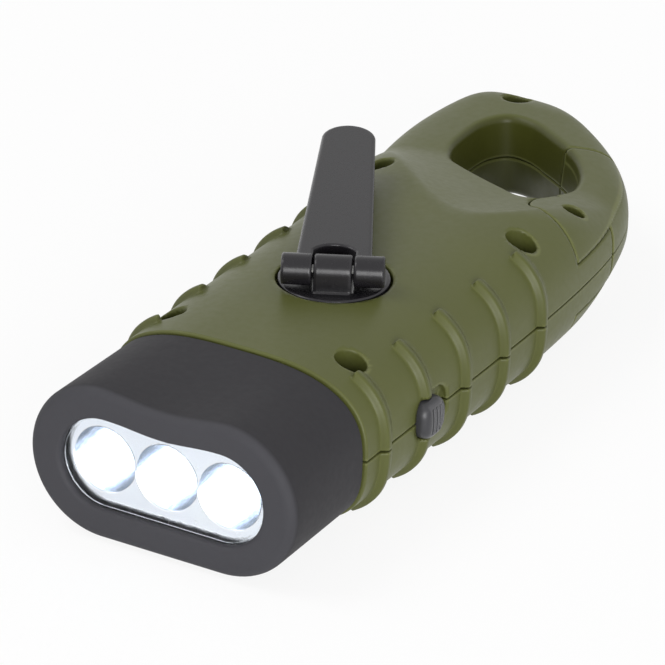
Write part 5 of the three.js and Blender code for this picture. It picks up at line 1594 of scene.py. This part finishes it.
def make_finish(finish: Finish, group: Tree) -> bpy.types.Material:
    """Builds one material from its finish."""
    material = bpy.data.materials.new(finish.slot.value)
    material.use_nodes = True
    nodes, links = material.node_tree.nodes, material.node_tree.links
    shader = nodes["Principled BSDF"]
    skin = nodes.new("ShaderNodeGroup")
    skin.node_tree = group
    for title, value in (
        ("Colour", (*finish.colour, 1.0)), ("Painted Shade Colour", (*finish.painted_shade_colour, 1.0)),
        ("Painted Highlight Colour", (*finish.painted_highlight_colour, 1.0)), ("Mottle", finish.mottle),
        ("Roughness", finish.roughness), ("Grain Scale", finish.grain), ("Grain Depth", finish.grain_depth),
    ):
        skin.inputs[title].default_value = value
    for made, title in (("Colour", "Base Color"), ("Roughness", "Roughness"), ("Normal", "Normal")):
        links.new(skin.outputs[made], shader.inputs[title])
    for title, value in (
        ("Metallic", finish.metallic), ("IOR", finish.ior), ("Transmission Weight", finish.transmission),
        ("Specular IOR Level", finish.gloss),
    ):
        shader.inputs[title].default_value = value
    if finish.emission:
        links.new(skin.outputs["Colour"], shader.inputs["Emission Color"])
        shader.inputs["Emission Strength"].default_value = finish.emission
    return material


def stands_for(piece: Thing, body: str, slot: Slot, finishes: Finishes,
               *nodes: str) -> None:
    """Dresses a piece, lets it ride on its body and hides the CAD nodes that it stands for."""
    piece.data.materials.clear()
    piece.data.materials.append(finishes[slot])
    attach(piece, body)
    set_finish(piece, slot.value)
    if nodes:
        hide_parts(*nodes)
    LOG.info("%s: %d faces, for %s", piece.name, len(piece.data.polygons), ", ".join(nodes) or "no node")


# Studio


@dataclass(frozen=True)
class Studio:
    """Camera, floor, world and lamps."""

    target: Triple = (-7.71, 13.28, 8.84)
    roll: float = math.radians(-1.3)
    azimuth: float = math.radians(29.93)
    elevation: float = math.radians(26.54)
    distance: float = 820.1
    lens: float = 287.9
    sky_level: float = 0.55
    floor_share: float = 0.88

    def camera(self) -> None:
        """Makes the camera at the photograph's angle."""
        data = bpy.data.cameras.new("camera")
        data.lens = self.lens
        data.sensor_width = 36.0
        data.clip_start = 0.05
        data.clip_end = 50.0
        thing = bpy.data.objects.new("camera", data)
        bpy.context.scene.collection.objects.link(thing)
        level = math.cos(self.elevation)
        sine, cosine = math.sin(self.azimuth), math.cos(self.azimuth)
        back = Vector((sine * level, -cosine * level, math.sin(self.elevation)))
        thing.location = (Vector(self.target) + back * self.distance) * MM
        thing.rotation_mode = "QUATERNION"
        straight = Vector((cosine, sine, 0.0))
        upright = back.cross(straight)
        right = straight * math.cos(self.roll) - upright * math.sin(self.roll)
        thing.rotation_quaternion = Matrix((right, back.cross(right), back)).transposed().to_quaternion()
        bpy.context.scene.camera = thing

    def seen(self, tree: Tree) -> Socket:
        """1 on camera, glossy and transmission rays."""
        path = tree.nodes.new("ShaderNodeLightPath")
        total = path.outputs["Is Camera Ray"]
        for title in ("Is Glossy Ray", "Is Transmission Ray"):
            node = tree.nodes.new("ShaderNodeMath")
            node.operation = "MAXIMUM"
            tree.links.new(total, node.inputs[0])
            tree.links.new(path.outputs[title], node.inputs[1])
            total = node.outputs[0]
        return total

    def floor(self) -> None:
        """A pale floor that keeps the object's shadow."""
        places = np.array([(-3e3, -3e3, -0.02), (3e3, -3e3, -0.02), (3e3, 3e3, -0.02), (-3e3, 3e3, -0.02)])
        thing = add_mesh("floor", places, np.array([(0, 1, 2, 3)]), smooth=False)
        material = bpy.data.materials.new("floor_white")
        material.use_nodes = True
        tree = material.node_tree
        shader = tree.nodes["Principled BSDF"]
        shader.inputs["Base Color"].default_value = (0.95, 0.95, 0.95, 1.0)
        shader.inputs["Roughness"].default_value = 0.9
        shader.inputs["Specular IOR Level"].default_value = 0.0
        glow = tree.nodes.new("ShaderNodeEmission")
        glow.inputs["Color"].default_value = (1.0, 1.0, 1.0, 1.0)
        mixer = tree.nodes.new("ShaderNodeMixShader")
        share = tree.nodes.new("ShaderNodeMath")
        share.operation = "MULTIPLY"
        share.inputs[1].default_value = self.floor_share
        surface = tree.nodes["Material Output"].inputs["Surface"]
        for source, target in (
            (self.seen(tree), share.inputs[0]), (share.outputs[0], mixer.inputs[0]),
            (shader.outputs[0], mixer.inputs[1]), (glow.outputs[0], mixer.inputs[2]),
            (mixer.outputs[0], surface),
        ):
            tree.links.new(source, target)
        thing.data.materials.append(material)

    def sky(self) -> None:
        """A white world, dimmer as a light than as a background."""
        world = bpy.data.worlds.new("sky")
        bpy.context.scene.world = world
        world.use_nodes = True
        tree = world.node_tree
        ground = tree.nodes["Background"]
        ground.inputs["Color"].default_value = (1.0, 1.0, 1.0, 1.0)
        strength = tree.nodes.new("ShaderNodeMapRange")
        strength.inputs["To Min"].default_value = self.sky_level
        strength.inputs["To Max"].default_value = 1.0
        tree.links.new(self.seen(tree), strength.inputs["Value"])
        tree.links.new(strength.outputs["Result"], ground.inputs["Strength"])

    def lamp(self, name: str, place: Triple, size: float, power: float) -> None:
        """A soft square lamp that looks at the object."""
        data = bpy.data.lights.new(name, "AREA")
        data.shape = "SQUARE"
        data.size = size
        data.energy = power
        thing = bpy.data.objects.new(name, data)
        bpy.context.scene.collection.objects.link(thing)
        thing.location = place
        thing.rotation_mode = "QUATERNION"
        thing.rotation_quaternion = (-Vector(place)).to_track_quat("-Z", "Y")

    def build(self) -> None:
        """Makes all of it."""
        self.camera()
        self.floor()
        self.sky()
        self.lamp("key", (-0.9, -0.5, 1.5), 0.9, 10.0)
        self.lamp("fill", (1.1, -1.3, 0.35), 1.0, 27.0)
        bpy.context.scene.view_settings.view_transform = "Standard"


def main() -> None:
    """Builds the scene in order."""
    logging.basicConfig(level=logging.INFO, format="%(name)s: %(message)s")
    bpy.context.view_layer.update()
    Studio().build()
    group = moulded_skin_group()
    finishes = {finish.slot: make_finish(finish, group) for finish in FINISHES}
    for slot, names in NODE_SLOTS.items():
        for name in names:
            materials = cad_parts[name].data.materials
            materials.clear()
            materials.append(finishes[slot])
            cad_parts[name]["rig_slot"] = slot.value
    form = HousingForm()
    seams = GateSeams()
    housing = Housing(form, seams)
    housing.build(finishes)
    Gate(form, seams).build(finishes)
    head = LampHead()
    head.build(finishes)
    Crank().build(finishes)
    SlideSwitch().build(finishes)
    Repeats(housing, head, seams).build(finishes)


if __name__ == "__main__":
    main()
